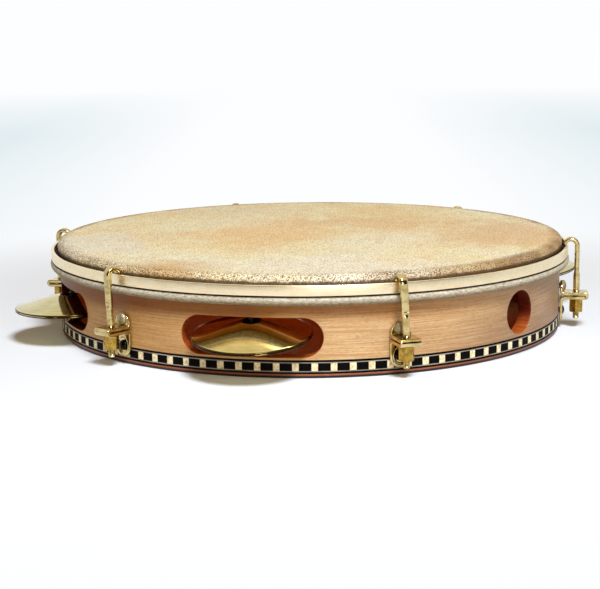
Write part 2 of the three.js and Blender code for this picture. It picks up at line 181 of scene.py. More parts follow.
# A plain paper floor. Away from the drum it brightens, as a paper sweep does, turns bluer to the left and
# right, and is white again far off.
def makeFloor():
    material, add = newMaterial("matteFloorPaper")
    place = drumPlace(add)
    away = add("ShaderNodeVectorMath", {0: place}, operation="LENGTH").outputs["Value"]
    white = add("ShaderNodeMapRange", {
        0: away, 1: room["whiteFrom"], 2: room["whiteTo"], 3: room["nearShare"]},
        interpolation_type="SMOOTHSTEP")
    outside = add("ShaderNodeMath", {0: away, 1: room["ringFoot"]}, operation="GREATER_THAN")
    rays = add("ShaderNodeLightPath").outputs
    direct = add("ShaderNodeMath", {0: rays["Is Camera Ray"], 1: rays["Is Transmission Ray"]},
                 operation="MAXIMUM")
    seen = add("ShaderNodeMath", {0: direct, 1: rays["Is Glossy Ray"]}, operation="MAXIMUM")
    seenOutside = add("ShaderNodeMath", {0: seen, 1: outside}, operation="MULTIPLY")
    share = add("ShaderNodeMath", {0: seenOutside, 1: white}, operation="MULTIPLY")
    turn = math.radians(photo["azimuth"])
    across = add("ShaderNodeVectorMath", {0: place, 1: (math.cos(turn), math.sin(turn), 0)},
                 operation="DOT_PRODUCT").outputs["Value"]
    aside = add("ShaderNodeMath", {0: across}, operation="ABSOLUTE")
    side = add("ShaderNodeMapRange", {0: aside, 1: room["blueFrom"], 2: room["blueTo"]})
    near = add("ShaderNodeMapRange", {0: away, 1: room["farTo"], 2: room["farFrom"]})
    blue = add("ShaderNodeMath", {0: side, 1: near}, operation="MULTIPLY")
    tone = add("ShaderNodeMix", {0: blue, 6: room["white"], 7: room["blue"]}, data_type="RGBA")
    paper = add("ShaderNodeBsdfDiffuse", {"Color": room["paper"]})
    sweep = add("ShaderNodeEmission", {"Color": tone})
    mixed = add("ShaderNodeMixShader", {0: share, 1: paper, 2: sweep})
    add("ShaderNodeOutputMaterial", {"Surface": mixed})
    mesh = bpy.data.meshes.new("floor")
    half = mm(room["floorSize"]) / 2
    corners = [(-half, -half, 0), (half, -half, 0), (half, half, 0), (-half, half, 0)]
    mesh.from_pydata(corners, [], [(0, 1, 2, 3)])
    mesh.materials.append(material)
    floor = newObject("floor", mesh)


# Even warm light from all round. The camera sees a pale backdrop, and polished metal sees a pale sweep behind
# and beside the drum, a dim room in front and a white panel overhead.
def makeWorld():
    world = bpy.data.worlds.new("studio")
    bpy.context.scene.world = world
    world.use_nodes = True
    world.node_tree.nodes.clear()
    add = partial(addNode, world.node_tree)
    rays = add("ShaderNodeLightPath").outputs
    seen = add("ShaderNodeMath", {0: rays["Is Camera Ray"], 1: rays["Is Transmission Ray"]},
               operation="MAXIMUM")
    place = add("ShaderNodeTexCoord").outputs["Generated"]
    turn = math.radians(photo["azimuth"])
    behind = add("ShaderNodeVectorMath", {0: place, 1: (-math.sin(turn), math.cos(turn), 0)},
                 operation="DOT_PRODUCT").outputs["Value"]
    upward = add("ShaderNodeSeparateXYZ", {0: place}).outputs["Z"]
    backShare = add("ShaderNodeMapRange", {0: behind, 1: room["wallFrom"], 2: room["wallTo"]},
                    interpolation_type="SMOOTHSTEP")
    lowShare = add("ShaderNodeMapRange", {0: upward, 1: room["wallTop"], 2: room["wallFoot"]},
                   interpolation_type="SMOOTHSTEP")
    wallShare = add("ShaderNodeMath", {0: backShare, 1: lowShare}, operation="MULTIPLY")
    overhead = add("ShaderNodeMapRange", {0: upward, 1: room["panelFrom"], 2: room["panelTo"]})
    backdrop, ceiling, wall, panel = [add("ShaderNodeBackground", {"Color": room[name]})
                                      for name in ("white", "ceiling", "wall", "panel")]
    light = add("ShaderNodeBackground", {"Color": room["sky"], "Strength": room["skyStrength"]})
    walled = add("ShaderNodeMixShader", {0: wallShare, 1: ceiling, 2: wall})
    mirrored = add("ShaderNodeMixShader", {0: overhead, 1: walled, 2: panel})
    lit = add("ShaderNodeMixShader", {0: rays["Is Glossy Ray"], 1: light, 2: mirrored})
    mixed = add("ShaderNodeMixShader", {0: seen, 1: lit, 2: backdrop})
    add("ShaderNodeOutputWorld", {"Surface": mixed})


def makeLight(name, look):
    data = bpy.data.lights.new(name, "AREA")
    data.shape = "DISK"
    data.size = mm(look["size"])
    data.energy = look["power"]
    data.color = hexColour(look["tint"])[:3]
    light = newObject(name, data)
    light.visible_camera = False
    around = math.radians(look["azimuth"] + photo["azimuth"])
    rise = math.radians(look["elevation"])
    away = Vector((math.sin(around) * math.cos(rise), -math.cos(around) * math.cos(rise), math.sin(rise)))
    light.location = away * mm(look["distance"])
    light.rotation_euler = away.to_track_quat("Z", "Y").to_euler()


makeCamera()
makeFloor()
makeWorld()
for name, look in softboxes.items():
    makeLight(name, look)
bpy.context.scene.view_settings.view_transform = "Standard"
print("room and camera made")


# Materials

# The material's one shader, joined to its output.
def finishWith(add, inputs):
    add("ShaderNodeOutputMaterial", {"Surface": add("ShaderNodeBsdfPrincipled", inputs)})


# Place on the drum as (way round at a radius, height, distance from the axis), in millimetres.
def ringPlace(add, radius):
    split = add("ShaderNodeSeparateXYZ", {0: drumPlace(add)})
    turn = add("ShaderNodeMath", {0: split.outputs["Y"], 1: split.outputs["X"]}, operation="ARCTAN2")
    around = add("ShaderNodeMath", {0: turn, 1: radius}, operation="MULTIPLY")
    flat = add("ShaderNodeCombineXYZ", {0: split.outputs["X"], 1: split.outputs["Y"]})
    distance = add("ShaderNodeVectorMath", {0: flat}, operation="LENGTH").outputs["Value"]
    return add("ShaderNodeCombineXYZ", {0: around, 1: split.outputs["Z"], 2: distance})


# Nearness to an angle round the drum: 1 at it and -1 on the opposite side.
def facing(add, place, radius, degrees):
    around = add("ShaderNodeSeparateXYZ", {0: place}).outputs["X"]
    turn = add("ShaderNodeMath", {0: around, 1: radius}, operation="DIVIDE")
    off = add("ShaderNodeMath", {0: turn, 1: math.radians(degrees)}, operation="SUBTRACT")
    return add("ShaderNodeMath", {0: off}, operation="COSINE")


# Soft blobs over a place in millimetres. The dictionaries give them as size along each axis, detail,
# roughness and shift.
def blobs(add, place, size, detail, roughness, shift=0.0):
    scaled = add("ShaderNodeVectorMath", {0: place, 1: [1 / s for s in size], 2: (shift,) * 3},
                 operation="MULTIPLY_ADD")
    return add("ShaderNodeTexNoise", {
        "Vector": scaled, "Scale": 1.0, "Detail": detail, "Roughness": roughness})


# A colour over another, coming in as a field goes from start to end. The dictionaries give start, end and
# most share.
def layer(add, under, over, field, start, end, most=1.0, within=1.0, blend="MIX", easing="LINEAR"):
    share = add("ShaderNodeMapRange", {0: field, 1: start, 2: end, 4: most}, interpolation_type=easing)
    here = add("ShaderNodeMath", {0: share, 1: within}, operation="MULTIPLY")
    return add("ShaderNodeMix", {0: here, 6: under, 7: over}, data_type="RGBA", blend_type=blend)


# Steam-bent beech, sanded and wiped with a satin oil: tan with fine grey-brown streaks, with painted light
# and shade round the strip, a painted shadow under the lap, and a foot line of stain and painted contact
# shadow
beech = {
    "streaks": ((30.0, 0.7, 8.0), 5.0, 0.62),
    "tones": [(0.36, "#cc9f69"), (0.5, "#dcb37e"), (0.64, "#e8c798")],
    "flecks": ((2.2, 0.3, 2.0), 2.0, 0.5, 7.3), "fleck": "#97683a", "fleckRange": (0.54, 0.68, 0.5),
    "patches": ((60.0, 22.0, 40.0), 2.0, 0.5, 3.1), "patchiness": 1.2, "warmSide": 200.0,
    "warmFrom": -0.4, "warmTo": 1.6, "sides": [(0.1, "#b8aeac"), (0.5, "#ebe4da"), (0.85, "#d9c6a6")],
    "lapShadow": "#b98f30", "lapShadowRange": (25.0, 31.5), "lapShadowDrift": 5.0,
    "lapShadowWarmFrom": 0.25, "lapShadowWarmTo": 0.6,
    "foot": "#cb988a", "footTop": 3.2, "footLineAndContactShadow": "#2a0f05", "footLineAndContactShadowRange": (1.5, 1.05), "depth": 0.03,
}


def makeBeech():
    material, add = newMaterial("oiledBeech")
    place = ringPlace(add, ringRadius)
    height = add("ShaderNodeSeparateXYZ", {0: place}).outputs["Y"]
    colour = add("ShaderNodeValToRGB", {0: blobs(add, place, *beech["streaks"])}, stops=beech["tones"])
    flecks = blobs(add, place, *beech["flecks"])
    colour = layer(add, colour, beech["fleck"], flecks, *beech["fleckRange"])
    # partly tone, partly painted light: warm and brown on one side, darker and greyer on the other, palest
    # facing the lamps
    patches = blobs(add, place, *beech["patches"])
    side = facing(add, place, ringRadius, beech["warmSide"])
    uneven = add("ShaderNodeMath", {0: patches, 1: beech["patchiness"], 2: side}, operation="MULTIPLY_ADD")
    toneAndShade = add("ShaderNodeMapRange", {0: uneven, 1: beech["warmFrom"], 2: beech["warmTo"]})
    tone = add("ShaderNodeValToRGB", {0: toneAndShade}, stops=beech["sides"])
    colour = add("ShaderNodeMix", {0: 1.0, 6: colour, 7: tone}, data_type="RGBA", blend_type="MULTIPLY")
    # painted shadow of the lap and hoop: the wood darkens towards the top, more on the warm side
    drifted = add("ShaderNodeMath", {0: patches, 1: beech["lapShadowDrift"], 2: height}, operation="MULTIPLY_ADD")
    warm = add("ShaderNodeMapRange", {0: toneAndShade, 1: beech["lapShadowWarmFrom"], 2: beech["lapShadowWarmTo"]})
    colour = layer(add, colour, beech["lapShadow"], drifted, *beech["lapShadowRange"], within=warm, blend="MULTIPLY",
                   easing="SMOOTHSTEP")
    # the narrow strip under the inlay took some of the red stain
    low = add("ShaderNodeMath", {0: height, 1: beech["footTop"]}, operation="LESS_THAN")
    colour = add("ShaderNodeMix", {0: low, 6: colour, 7: beech["foot"]}, data_type="RGBA",
                 blend_type="MULTIPLY")
    # partly stain, partly a painted contact shadow: a dark line along the very foot where the drum meets the
    # floor
    colour = layer(add, colour, beech["footLineAndContactShadow"], height, *beech["footLineAndContactShadowRange"])
    bump = add("ShaderNodeBump", {"Height": flecks, "Distance": mm(beech["depth"]), "Strength": 0.5})
    finishWith(add, {"Base Color": colour, "Roughness": 0.46, "IOR": 1.5, "Specular IOR Level": 0.3,
                     "Coat Weight": 0.08, "Coat Roughness": 0.3, "Normal": bump})
    return material


# The same beech soaked with a dark red spirit stain where it was cut: mahogany, dry and uneven
stain = {
    "streaks": ((14.0, 0.9, 6.0), 4.0, 0.6, 2.0),
    "tones": [(0.3, "#882f08"), (0.52, "#a84f19"), (0.75, "#b8692e")],
    "radius": 123.0, "holeAngle": 330.3, "holeReach": 6.0, "holeShade": "#8a5648", "holeShadeRange": (12.0, 18.0),
    "slotShadeAngle": 209.0, "slotShadeReach": 26.0, "slotShadeFade": 0.05, "dark": "#6e3a2c", "depth": 0.08,
}


def makeStainedBeech():
    material, add = newMaterial("redStainedBeech")
    place = ringPlace(add, stain["radius"])
    height = add("ShaderNodeSeparateXYZ", {0: place}).outputs["Y"]
    streaks = blobs(add, place, *stain["streaks"])
    colour = add("ShaderNodeValToRGB", {0: streaks}, stops=stain["tones"])
    # painted shade: darker towards the top of the thumb hole, under its lip, and darker in and round one slot
    atHole = facing(add, place, stain["radius"], stain["holeAngle"])
    near = add("ShaderNodeMath", {0: atHole, 1: math.cos(math.radians(stain["holeReach"]))},
               operation="GREATER_THAN")
    colour = layer(add, colour, stain["holeShade"], height, *stain["holeShadeRange"], within=near, blend="MULTIPLY")
    # painted shade in and round one slot
    atSlotShade = facing(add, place, stain["radius"], stain["slotShadeAngle"])
    reach = math.cos(math.radians(stain["slotShadeReach"]))
    colour = layer(add, colour, stain["dark"], atSlotShade, reach - stain["slotShadeFade"], reach, blend="MULTIPLY")
    bump = add("ShaderNodeBump", {"Height": streaks, "Distance": mm(stain["depth"]), "Strength": 0.6})
    finishWith(add, {"Base Color": colour, "Roughness": 0.6, "IOR": 1.5, "Specular IOR Level": 0.2,
                     "Normal": bump})
    return material


veneers = {
    # dyed black veneer, sanded flush and oiled: near black with a faint warm grain
    "dyedBlackVeneer": {"grain": ((0.5, 6.0, 2.0), 3.0, 0.55), "tones": [(0.35, "#030202"), (0.7, "#0b0806")],
                        "roughness": 0.6, "specular": 0.05, "depth": 0.0},
    # maple veneer squares: cream, with tan hearts and pale edges where the pieces were cut
    "mapleVeneer": {"grain": ((1.1, 1.4, 3.0), 4.0, 0.65, 5.0),
                    "tones": [(0.3, "#a88a5a"), (0.42, "#dcc48e"), (0.55, "#eedcb0"), (0.75, "#f7ecd0")],
                    "roughness": 0.4, "specular": 0.5, "depth": 0.05},
    # thin stringing beside the squares: bleached wood, greyish where dye has crept in
    "bleachedStringing": {"grain": ((9.0, 0.5, 3.0), 3.0, 0.6, 9.0),
                          "tones": [(0.3, "#5e544a"), (0.5, "#8b7e6d"), (0.75, "#b3a68f")],
                          "roughness": 0.45, "specular": 0.5, "depth": 0.0},
}


def makeVeneer(name):
    look = veneers[name]
    material, add = newMaterial(name)
    grain = blobs(add, ringPlace(add, ringRadius), *look["grain"])
    colour = add("ShaderNodeValToRGB", {0: grain}, stops=look["tones"])
    finish = {"Base Color": colour, "Roughness": look["roughness"], "IOR": 1.5,
              "Specular IOR Level": look["specular"]}
    if look["depth"]:
        finish["Normal"] = add("ShaderNodeBump", {
            "Height": grain, "Distance": mm(look["depth"]), "Strength": 0.5})
    finishWith(add, finish)
    return material


hide = {
    "patches": ((60.0, 60.0, 60.0), 4.0, 0.5, 1.7),
    "tones": [(0.36, "#fbdfa2"), (0.5, "#ffedb8"), (0.64, "#fff6cc")],
    # blotches as (x, y, half width, half depth, share, colour), with ragged edges
    "blotches": [(-22, -2, 42, 56, 0.75, "#fbd193"), (-103, -55, 36, 56, 0.8, "#faf2d6"),
                 (-48, -116, 34, 24, 0.8, "#e0b578"), (33, 36, 44, 30, 0.7, "#f0c283"),
                 (50, -15, 32, 30, 0.7, "#fff2cc"), (98, 8, 38, 56, 0.8, "#ecc28a"),
                 (35, -106, 66, 38, 0.85, "#fff3d2"), (-68, 82, 50, 34, 0.6, "#f8eac2")],
    "ragged": ((22.0, 30.0, 22.0), 5.0, 0.6, 11.0), "raggedness": 2.0, "blotchRange": (2.2, 1.3),
    "mottles": ((4.0, 9.0, 4.0), 5.0, 0.72, 4.0), "mottle": "#d3a96f", "mottleRange": (0.42, 0.7, 0.4),
    "specks": ((0.75, 1.7, 0.75), 2.0, 0.6, 40.0), "speck": "#8a5822", "speckRange": (0.53, 0.61, 0.55),
    "thick": ((24.0, 24.0, 24.0), 2.0, 0.5, 15.0), "rimFrom": 119.0, "rimTo": 126.5, "paleAngle": 250.0,
    "paleFrom": 0.97, "paleTo": 0.2, "paleLeast": 0.12, "rim": "#96682f", "rimRange": (0.15, 0.5, 0.75),
    "pores": ((0.6, 0.6, 0.6), 2.0, 0.6, 21.0), "pore": "#4f3015", "poreGather": 0.16,
    "poreRange": (0.73, 0.82, 0.85),
    "edge": "#50371c", "edgeDrift": -2.0, "edgeRange": (42.2, 41.4, 0.85),
    "suede": ((1.5, 0.6, 2.0), 5.0, 0.78, 6.0),
    "lap": [(0.3, "#6f5e45"), (0.46, "#b4a68a"), (0.62, "#d9cfb9")],
    "lapUnderShade": "#8d7a5c", "lapUnderShadeRange": (35.6, 33.6, 0.75), "lapTop": 41.5, "lapFade": 1.5,
    "slit": "#2b1b0e", "slitRange": (36.0, 36.45), "fibres": ((0.7, 1.4, 0.7), 4.0, 0.7, 30.0), "depth": 0.12,
    "underside": 45.55, "membraneRadius": 124.0, "glow": "#ff9c48", "topGlow": 0.09, "undersideGlow": 0.6,
}


# Goat skin, limed, scraped and dried taut on its hoop: blotched cream and tan with dark hair pores that run
# one way, and suede-like where it is lapped. A little light comes through it, warm.
def makeGoatSkin():
    material, add = newMaterial("driedGoatSkin")
    place = drumPlace(add)
    around = ringPlace(add, ringRadius)
    parts = add("ShaderNodeSeparateXYZ", {0: around})
    height, distance = parts.outputs["Y"], parts.outputs["Z"]
    colour = add("ShaderNodeValToRGB", {0: blobs(add, place, *hide["patches"])}, stops=hide["tones"])
    ragged = blobs(add, place, *hide["ragged"])
    for x, y, wide, deep, share, tone in hide["blotches"]:
        offset = add("ShaderNodeVectorMath", {0: place, 1: (x, y, 0)}, operation="SUBTRACT")
        scaled = add("ShaderNodeVectorMath", {0: offset, 1: (1 / wide, 1 / deep, 0)}, operation="MULTIPLY")
        away = add("ShaderNodeVectorMath", {0: scaled}, operation="LENGTH").outputs["Value"]
        uneven = add("ShaderNodeMath", {0: ragged, 1: hide["raggedness"], 2: away}, operation="MULTIPLY_ADD")
        colour = layer(add, colour, tone, uneven, *hide["blotchRange"], share, easing="SMOOTHSTEP")
    mottles = blobs(add, place, *hide["mottles"])
    colour = layer(add, colour, hide["mottle"], mottles, *hide["mottleRange"])
    colour = layer(add, colour, hide["speck"], blobs(add, place, *hide["specks"]), *hide["speckRange"])
    # the rim is browner, less so on one side, and its pores are thick
    thick = blobs(add, place, *hide["thick"])
    rimward = add("ShaderNodeMapRange", {0: distance, 1: hide["rimFrom"], 2: hide["rimTo"]})
    pale = facing(add, around, ringRadius, hide["paleAngle"])
    browner = add("ShaderNodeMapRange", {
        0: pale, 1: hide["paleFrom"], 2: hide["paleTo"], 3: hide["paleLeast"]})
    rimShare = add("ShaderNodeMath", {0: rimward, 1: browner}, operation="MULTIPLY")
    unevenRim = add("ShaderNodeMath", {0: rimShare, 1: thick}, operation="MULTIPLY")
    colour = layer(add, colour, hide["rim"], unevenRim, *hide["rimRange"])
    pores = blobs(add, place, *hide["pores"])
    for gathered in (rimward, thick):
        pores = add("ShaderNodeMath", {0: gathered, 1: hide["poreGather"], 2: pores},
                    operation="MULTIPLY_ADD")
    colour = layer(add, colour, hide["pore"], pores, *hide["poreRange"])
    # painted shade: darker where the head goes down behind the hoop
    edgeHeight = add("ShaderNodeMath", {0: mottles, 1: hide["edgeDrift"], 2: height},
                     operation="MULTIPLY_ADD")
    colour = layer(add, colour, hide["edge"], edgeHeight, *hide["edgeRange"])
    # the lap is grey-buff suede, with painted shade where it turns under and a painted shade line in the slit
    # between it and the hoop
    lap = add("ShaderNodeValToRGB", {0: blobs(add, around, *hide["suede"])}, stops=hide["lap"])
    lap = layer(add, lap, hide["lapUnderShade"], height, *hide["lapUnderShadeRange"], blend="MULTIPLY")
    colour = layer(add, colour, lap, height, hide["lapTop"], hide["lapTop"] - hide["lapFade"])
    belowTop = add("ShaderNodeMath", {0: height, 1: hide["lapTop"]}, operation="LESS_THAN")
    colour = layer(add, colour, hide["slit"], height, *hide["slitRange"], within=belowTop)
    swell = add("ShaderNodeMath", {0: mottles, 1: blobs(add, place, *hide["fibres"])}, operation="ADD")
    bump = add("ShaderNodeBump", {"Height": swell, "Distance": mm(hide["depth"]), "Strength": 0.7})
    leather = add("ShaderNodeBsdfPrincipled", {"Base Color": colour, "Roughness": 0.6, "IOR": 1.45,
                                               "Specular IOR Level": 0.3, "Normal": bump})
    through = add("ShaderNodeBsdfTranslucent", {"Color": hide["glow"]})
    overLap = add("ShaderNodeMath", {0: height, 1: hide["lapTop"]}, operation="GREATER_THAN")
    under = add("ShaderNodeMath", {0: height, 1: hide["underside"]}, operation="LESS_THAN")
    inner = add("ShaderNodeMath", {0: distance, 1: hide["membraneRadius"]}, operation="LESS_THAN")
    within = add("ShaderNodeMath", {0: under, 1: inner}, operation="MULTIPLY")
    passed = add("ShaderNodeMapRange", {0: within, 3: hide["topGlow"], 4: hide["undersideGlow"]})
    share = add("ShaderNodeMath", {0: passed, 1: overLap}, operation="MULTIPLY")
    mixed = add("ShaderNodeMixShader", {0: share, 1: leather, 2: through})
    add("ShaderNodeOutputMaterial", {"Surface": mixed})
    return material


# The roughness goes from one share of itself to another as the marks go from marksFrom to marksTo.
plated = {"radius": 131.0, "clouds": ((5.0, 3.0, 4.0), 4.0, 0.65, 3.0), "darkAt": 0.35, "lightAt": 0.6,
          "marksFrom": 0.3, "marksTo": 0.75, "roughFrom": 0.7, "roughTo": 1.6, "depth": 0.01}
dulled = {"radius": 130.0, "marks": ((1.2, 1.2, 1.2), 4.0, 0.65, 12.0), "darkAt": 0.3, "lightAt": 0.65,
          "marksFrom": 0.3, "marksTo": 0.7, "roughFrom": 1.4, "roughTo": 0.8, "depth": 0.02}
metals = {
    # brass plating on the hoop: a mirror with a trace of haze and hairline scratches along its length
    "brassPlatedHoop": {**plated, "dark": "#f7e0b6", "light": "#fde9c4", "roughness": 0.28,
                        "marks": ((30.0, 0.25, 2.0), 3.0, 0.6, 8.0)},
    # brass plating on bent steel: a clear mirror with small dull spots
    "brassPlatedSteel": {**plated, "dark": "#ab955c", "light": "#d9c48c", "roughness": 0.12,
                         "marks": ((1.2, 1.2, 1.2), 3.0, 0.6, 8.0)},
    # hexagon bar turned and left bare: browner than the plating
    "turnedBrass": {**dulled, "dark": "#8a6b2a", "light": "#c09c4a", "roughness": 0.26,
                    "marks": ((1.6, 1.6, 1.6), 4.0, 0.65, 12.0)},
    # rivet heads of aluminium, dull and a little warm from handling
    "headedAluminium": {**dulled, "dark": "#998b6e", "light": "#c4b697", "roughness": 0.55},
    # steel rivets, blackened and polished: a small dark mirror
    "blackenedSteel": {**dulled, "dark": "#120f0c", "light": "#2a231c", "roughness": 0.16},
    # drawn nail steel, painted dark as shade for pins that stand inside the slots; satin
    "nailSteelPaintedShade": {**dulled, "dark": "#1f1710", "light": "#3a2e1f", "roughness": 0.35},
    # drawn hoop wire, grey and satin
    "drawnHoopWire": {**dulled, "dark": "#5f5a52", "light": "#8f897e", "roughness": 0.4},
}


def makeMetal(name):
    look = metals[name]
    material, add = newMaterial(name)
    place = ringPlace(add, look["radius"])
    marks = blobs(add, place, *look["marks"])
    clouds = blobs(add, place, *look["clouds"]) if "clouds" in look else marks
    colour = add("ShaderNodeValToRGB", {0: clouds},
                 stops=[(look["darkAt"], look["dark"]), (look["lightAt"], look["light"])])
    rough = add("ShaderNodeMapRange", {
        0: marks, 1: look["marksFrom"], 2: look["marksTo"],
        3: look["roughness"] * look["roughFrom"], 4: look["roughness"] * look["roughTo"]})
    bump = add("ShaderNodeBump", {"Height": marks, "Distance": mm(look["depth"]), "Strength": 0.4})
    finishWith(add, {"Base Color": colour, "Metallic": 1.0, "Roughness": rough, "Normal": bump})
    return material


# Sheet brass: rings from the tool that shaped it, drawn coarser than they are so that they show, and a
# dark rim of painted reflection and shade
spinning = {
    # spun to a cup and left bright
    "spunBrass": {"bright": "#dfd29c", "dull": "#c2b279", "ringSpacing": 0.7, "roughness": 0.07,
                  "edge": "#4b3c1e", "edgeRange": (25.9, 26.25)},
    # stamped flat and left as it was
    "stampedBrass": {"bright": "#a8946a", "dull": "#77653f", "ringSpacing": 1.4, "roughness": 0.42,
                     "edge": "#5a4826", "edgeRange": (24.6, 24.9)},
}
spun = {
    "ringLength": 400.0, "clouds": ((7.0, 9.0, 1.0), 4.0, 0.6, 5.0), "dullAt": 0.35, "brightAt": 0.6,
    "marksFrom": 0.3, "marksTo": 0.7, "roughFrom": 1.4, "roughTo": 0.7, "depth": 0.012, "anisotropy": 0.5,
}


def makeSpunBrass(name):
    look = spinning[name]
    material, add = newMaterial(name)
    own = add("ShaderNodeUVMap", uv_map="UVMap")
    rings = blobs(add, own, (look["ringSpacing"], spun["ringLength"], 1.0), 4.0, 0.7, 1.0)
    both = add("ShaderNodeMath", {0: rings, 1: blobs(add, own, *spun["clouds"])}, operation="ADD")
    halved = add("ShaderNodeMath", {0: both, 1: 0.5}, operation="MULTIPLY")
    colour = add("ShaderNodeValToRGB", {0: halved},
                 stops=[(spun["dullAt"], look["dull"]), (spun["brightAt"], look["bright"])])
    radius = add("ShaderNodeSeparateXYZ", {0: own}).outputs["X"]
    # painted reflection and shade: a dark line along the rim
    colour = layer(add, colour, look["edge"], radius, *look["edgeRange"])
    rough = add("ShaderNodeMapRange", {
        0: halved, 1: spun["marksFrom"], 2: spun["marksTo"],
        3: look["roughness"] * spun["roughFrom"], 4: look["roughness"] * spun["roughTo"]})
    bump = add("ShaderNodeBump", {"Height": rings, "Distance": mm(spun["depth"]), "Strength": 0.5})
    tangent = add("ShaderNodeTangent", direction_type="UV_MAP", uv_map="UVMap")
    finishWith(add, {"Base Color": colour, "Metallic": 1.0, "Roughness": rough,
                     "Anisotropic": spun["anisotropy"], "Normal": bump, "Tangent": tangent})
    return material


oiledBeech = makeBeech()
stainedBeech = makeStainedBeech()
blackVeneer = makeVeneer("dyedBlackVeneer")
paleVeneer = makeVeneer("mapleVeneer")
stringing = makeVeneer("bleachedStringing")
goatSkin = makeGoatSkin()
hoopPlating = makeMetal("brassPlatedHoop")
hardwarePlating = makeMetal("brassPlatedSteel")
turnedBrass = makeMetal("turnedBrass")
rivetAluminium = makeMetal("headedAluminium")
rivetSteel = makeMetal("blackenedSteel")
nailSteel = makeMetal("nailSteelPaintedShade")
hoopWire = makeMetal("drawnHoopWire")
spunBrass = makeSpunBrass("spunBrass")
stampedBrass = makeSpunBrass("stampedBrass")
print("materials made")


# Geometry trees and mesh helpers

# A new geometry tree with named inputs, the function that adds nodes to it, and its inputs' sockets.
def newTree(name, inputs):
    tree = bpy.data.node_groups.new(name, "GeometryNodeTree")
    for way in ("INPUT", "OUTPUT"):
        tree.interface.new_socket(name="Geometry", in_out=way, socket_type="NodeSocketGeometry")
    for label, kind in inputs.items():
        tree.interface.new_socket(name=label, in_out="INPUT", socket_type=f"NodeSocket{kind}")
    return tree, partial(addNode, tree), addNode(tree, "NodeGroupInput").outputs


# Runs a tree on a mesh with its named inputs, and gives back a plain mesh.
def runTree(mesh, tree, values):
    holder = newObject("holder", mesh)
    modifier = holder.modifiers.new("build", "NODES")
    modifier.node_group = tree
    for item in tree.interface.items_tree:
        if item.in_out == "INPUT" and item.name in values:
            modifier[item.identifier] = values[item.name]
    shown = holder.evaluated_get(bpy.context.evaluated_depsgraph_get())
    result = bpy.data.meshes.new_from_object(shown)
    bpy.data.objects.remove(holder)
    return result


def shadeSmooth(mesh, edgeAngle):
    for face in mesh.polygons:
        face.use_smooth = True
    mesh.set_sharp_from_angle(angle=math.radians(edgeAngle))


# Merges doubles, turns faces outwards and shades smooth up to an edge angle.
def finishMesh(mesh, edgeAngle=35.0):
    body = bmesh.new()
    body.from_mesh(mesh)
    bmesh.ops.remove_doubles(body, verts=body.verts, dist=mm(weld))
    bmesh.ops.recalc_face_normals(body, faces=body.faces)
    body.to_mesh(mesh)
    body.free()
    shadeSmooth(mesh, edgeAngle)
    return mesh


def addPiece(name, mesh, body, nodes):
    mesh.name = name
    piece = newObject(name, mesh)
    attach(piece, body)
    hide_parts(*nodes)


# Points of an arc, both ends included, as (distance, height) pairs; angles from the outward direction.
def arc(x, z, radius, start, end, steps):
    turns = [math.radians(between(start, end, i / steps)) for i in range(steps + 1)]
    return [(x + radius * math.cos(t), z + radius * math.sin(t)) for t in turns]


# Closed loops of points, each joined to the next. The last is joined to the first, or else flat caps close
# the ends.
def loftMesh(loops, closed=False):
    count = len(loops[0])
    points = [mm(Vector(p)) for loop in loops for p in loop]
    faces = []
    for j in range(len(loops) if closed else len(loops) - 1):
        a, b = j * count, ((j + 1) % len(loops)) * count
        for i in range(count):
            k = (i + 1) % count
            faces.append((a + i, a + k, b + k, b + i))
    if not closed:
        faces.append(tuple(reversed(range(count))))
        faces.append(tuple(range((len(loops) - 1) * count, len(loops) * count)))
    mesh = bpy.data.meshes.new("loft")
    mesh.from_pydata(points, [], faces)
    return mesh


# The place at an angle and a distance round the Z axis, in a geometry tree.
def polarPlace(add, angle, distance, height):
    x, y = [add("ShaderNodeMath", {0: distance, 1: add("ShaderNodeMath", {0: angle}, operation=way)},
                operation="MULTIPLY") for way in ("COSINE", "SINE")]
    return add("ShaderNodeCombineXYZ", {0: x, 1: y, 2: height})


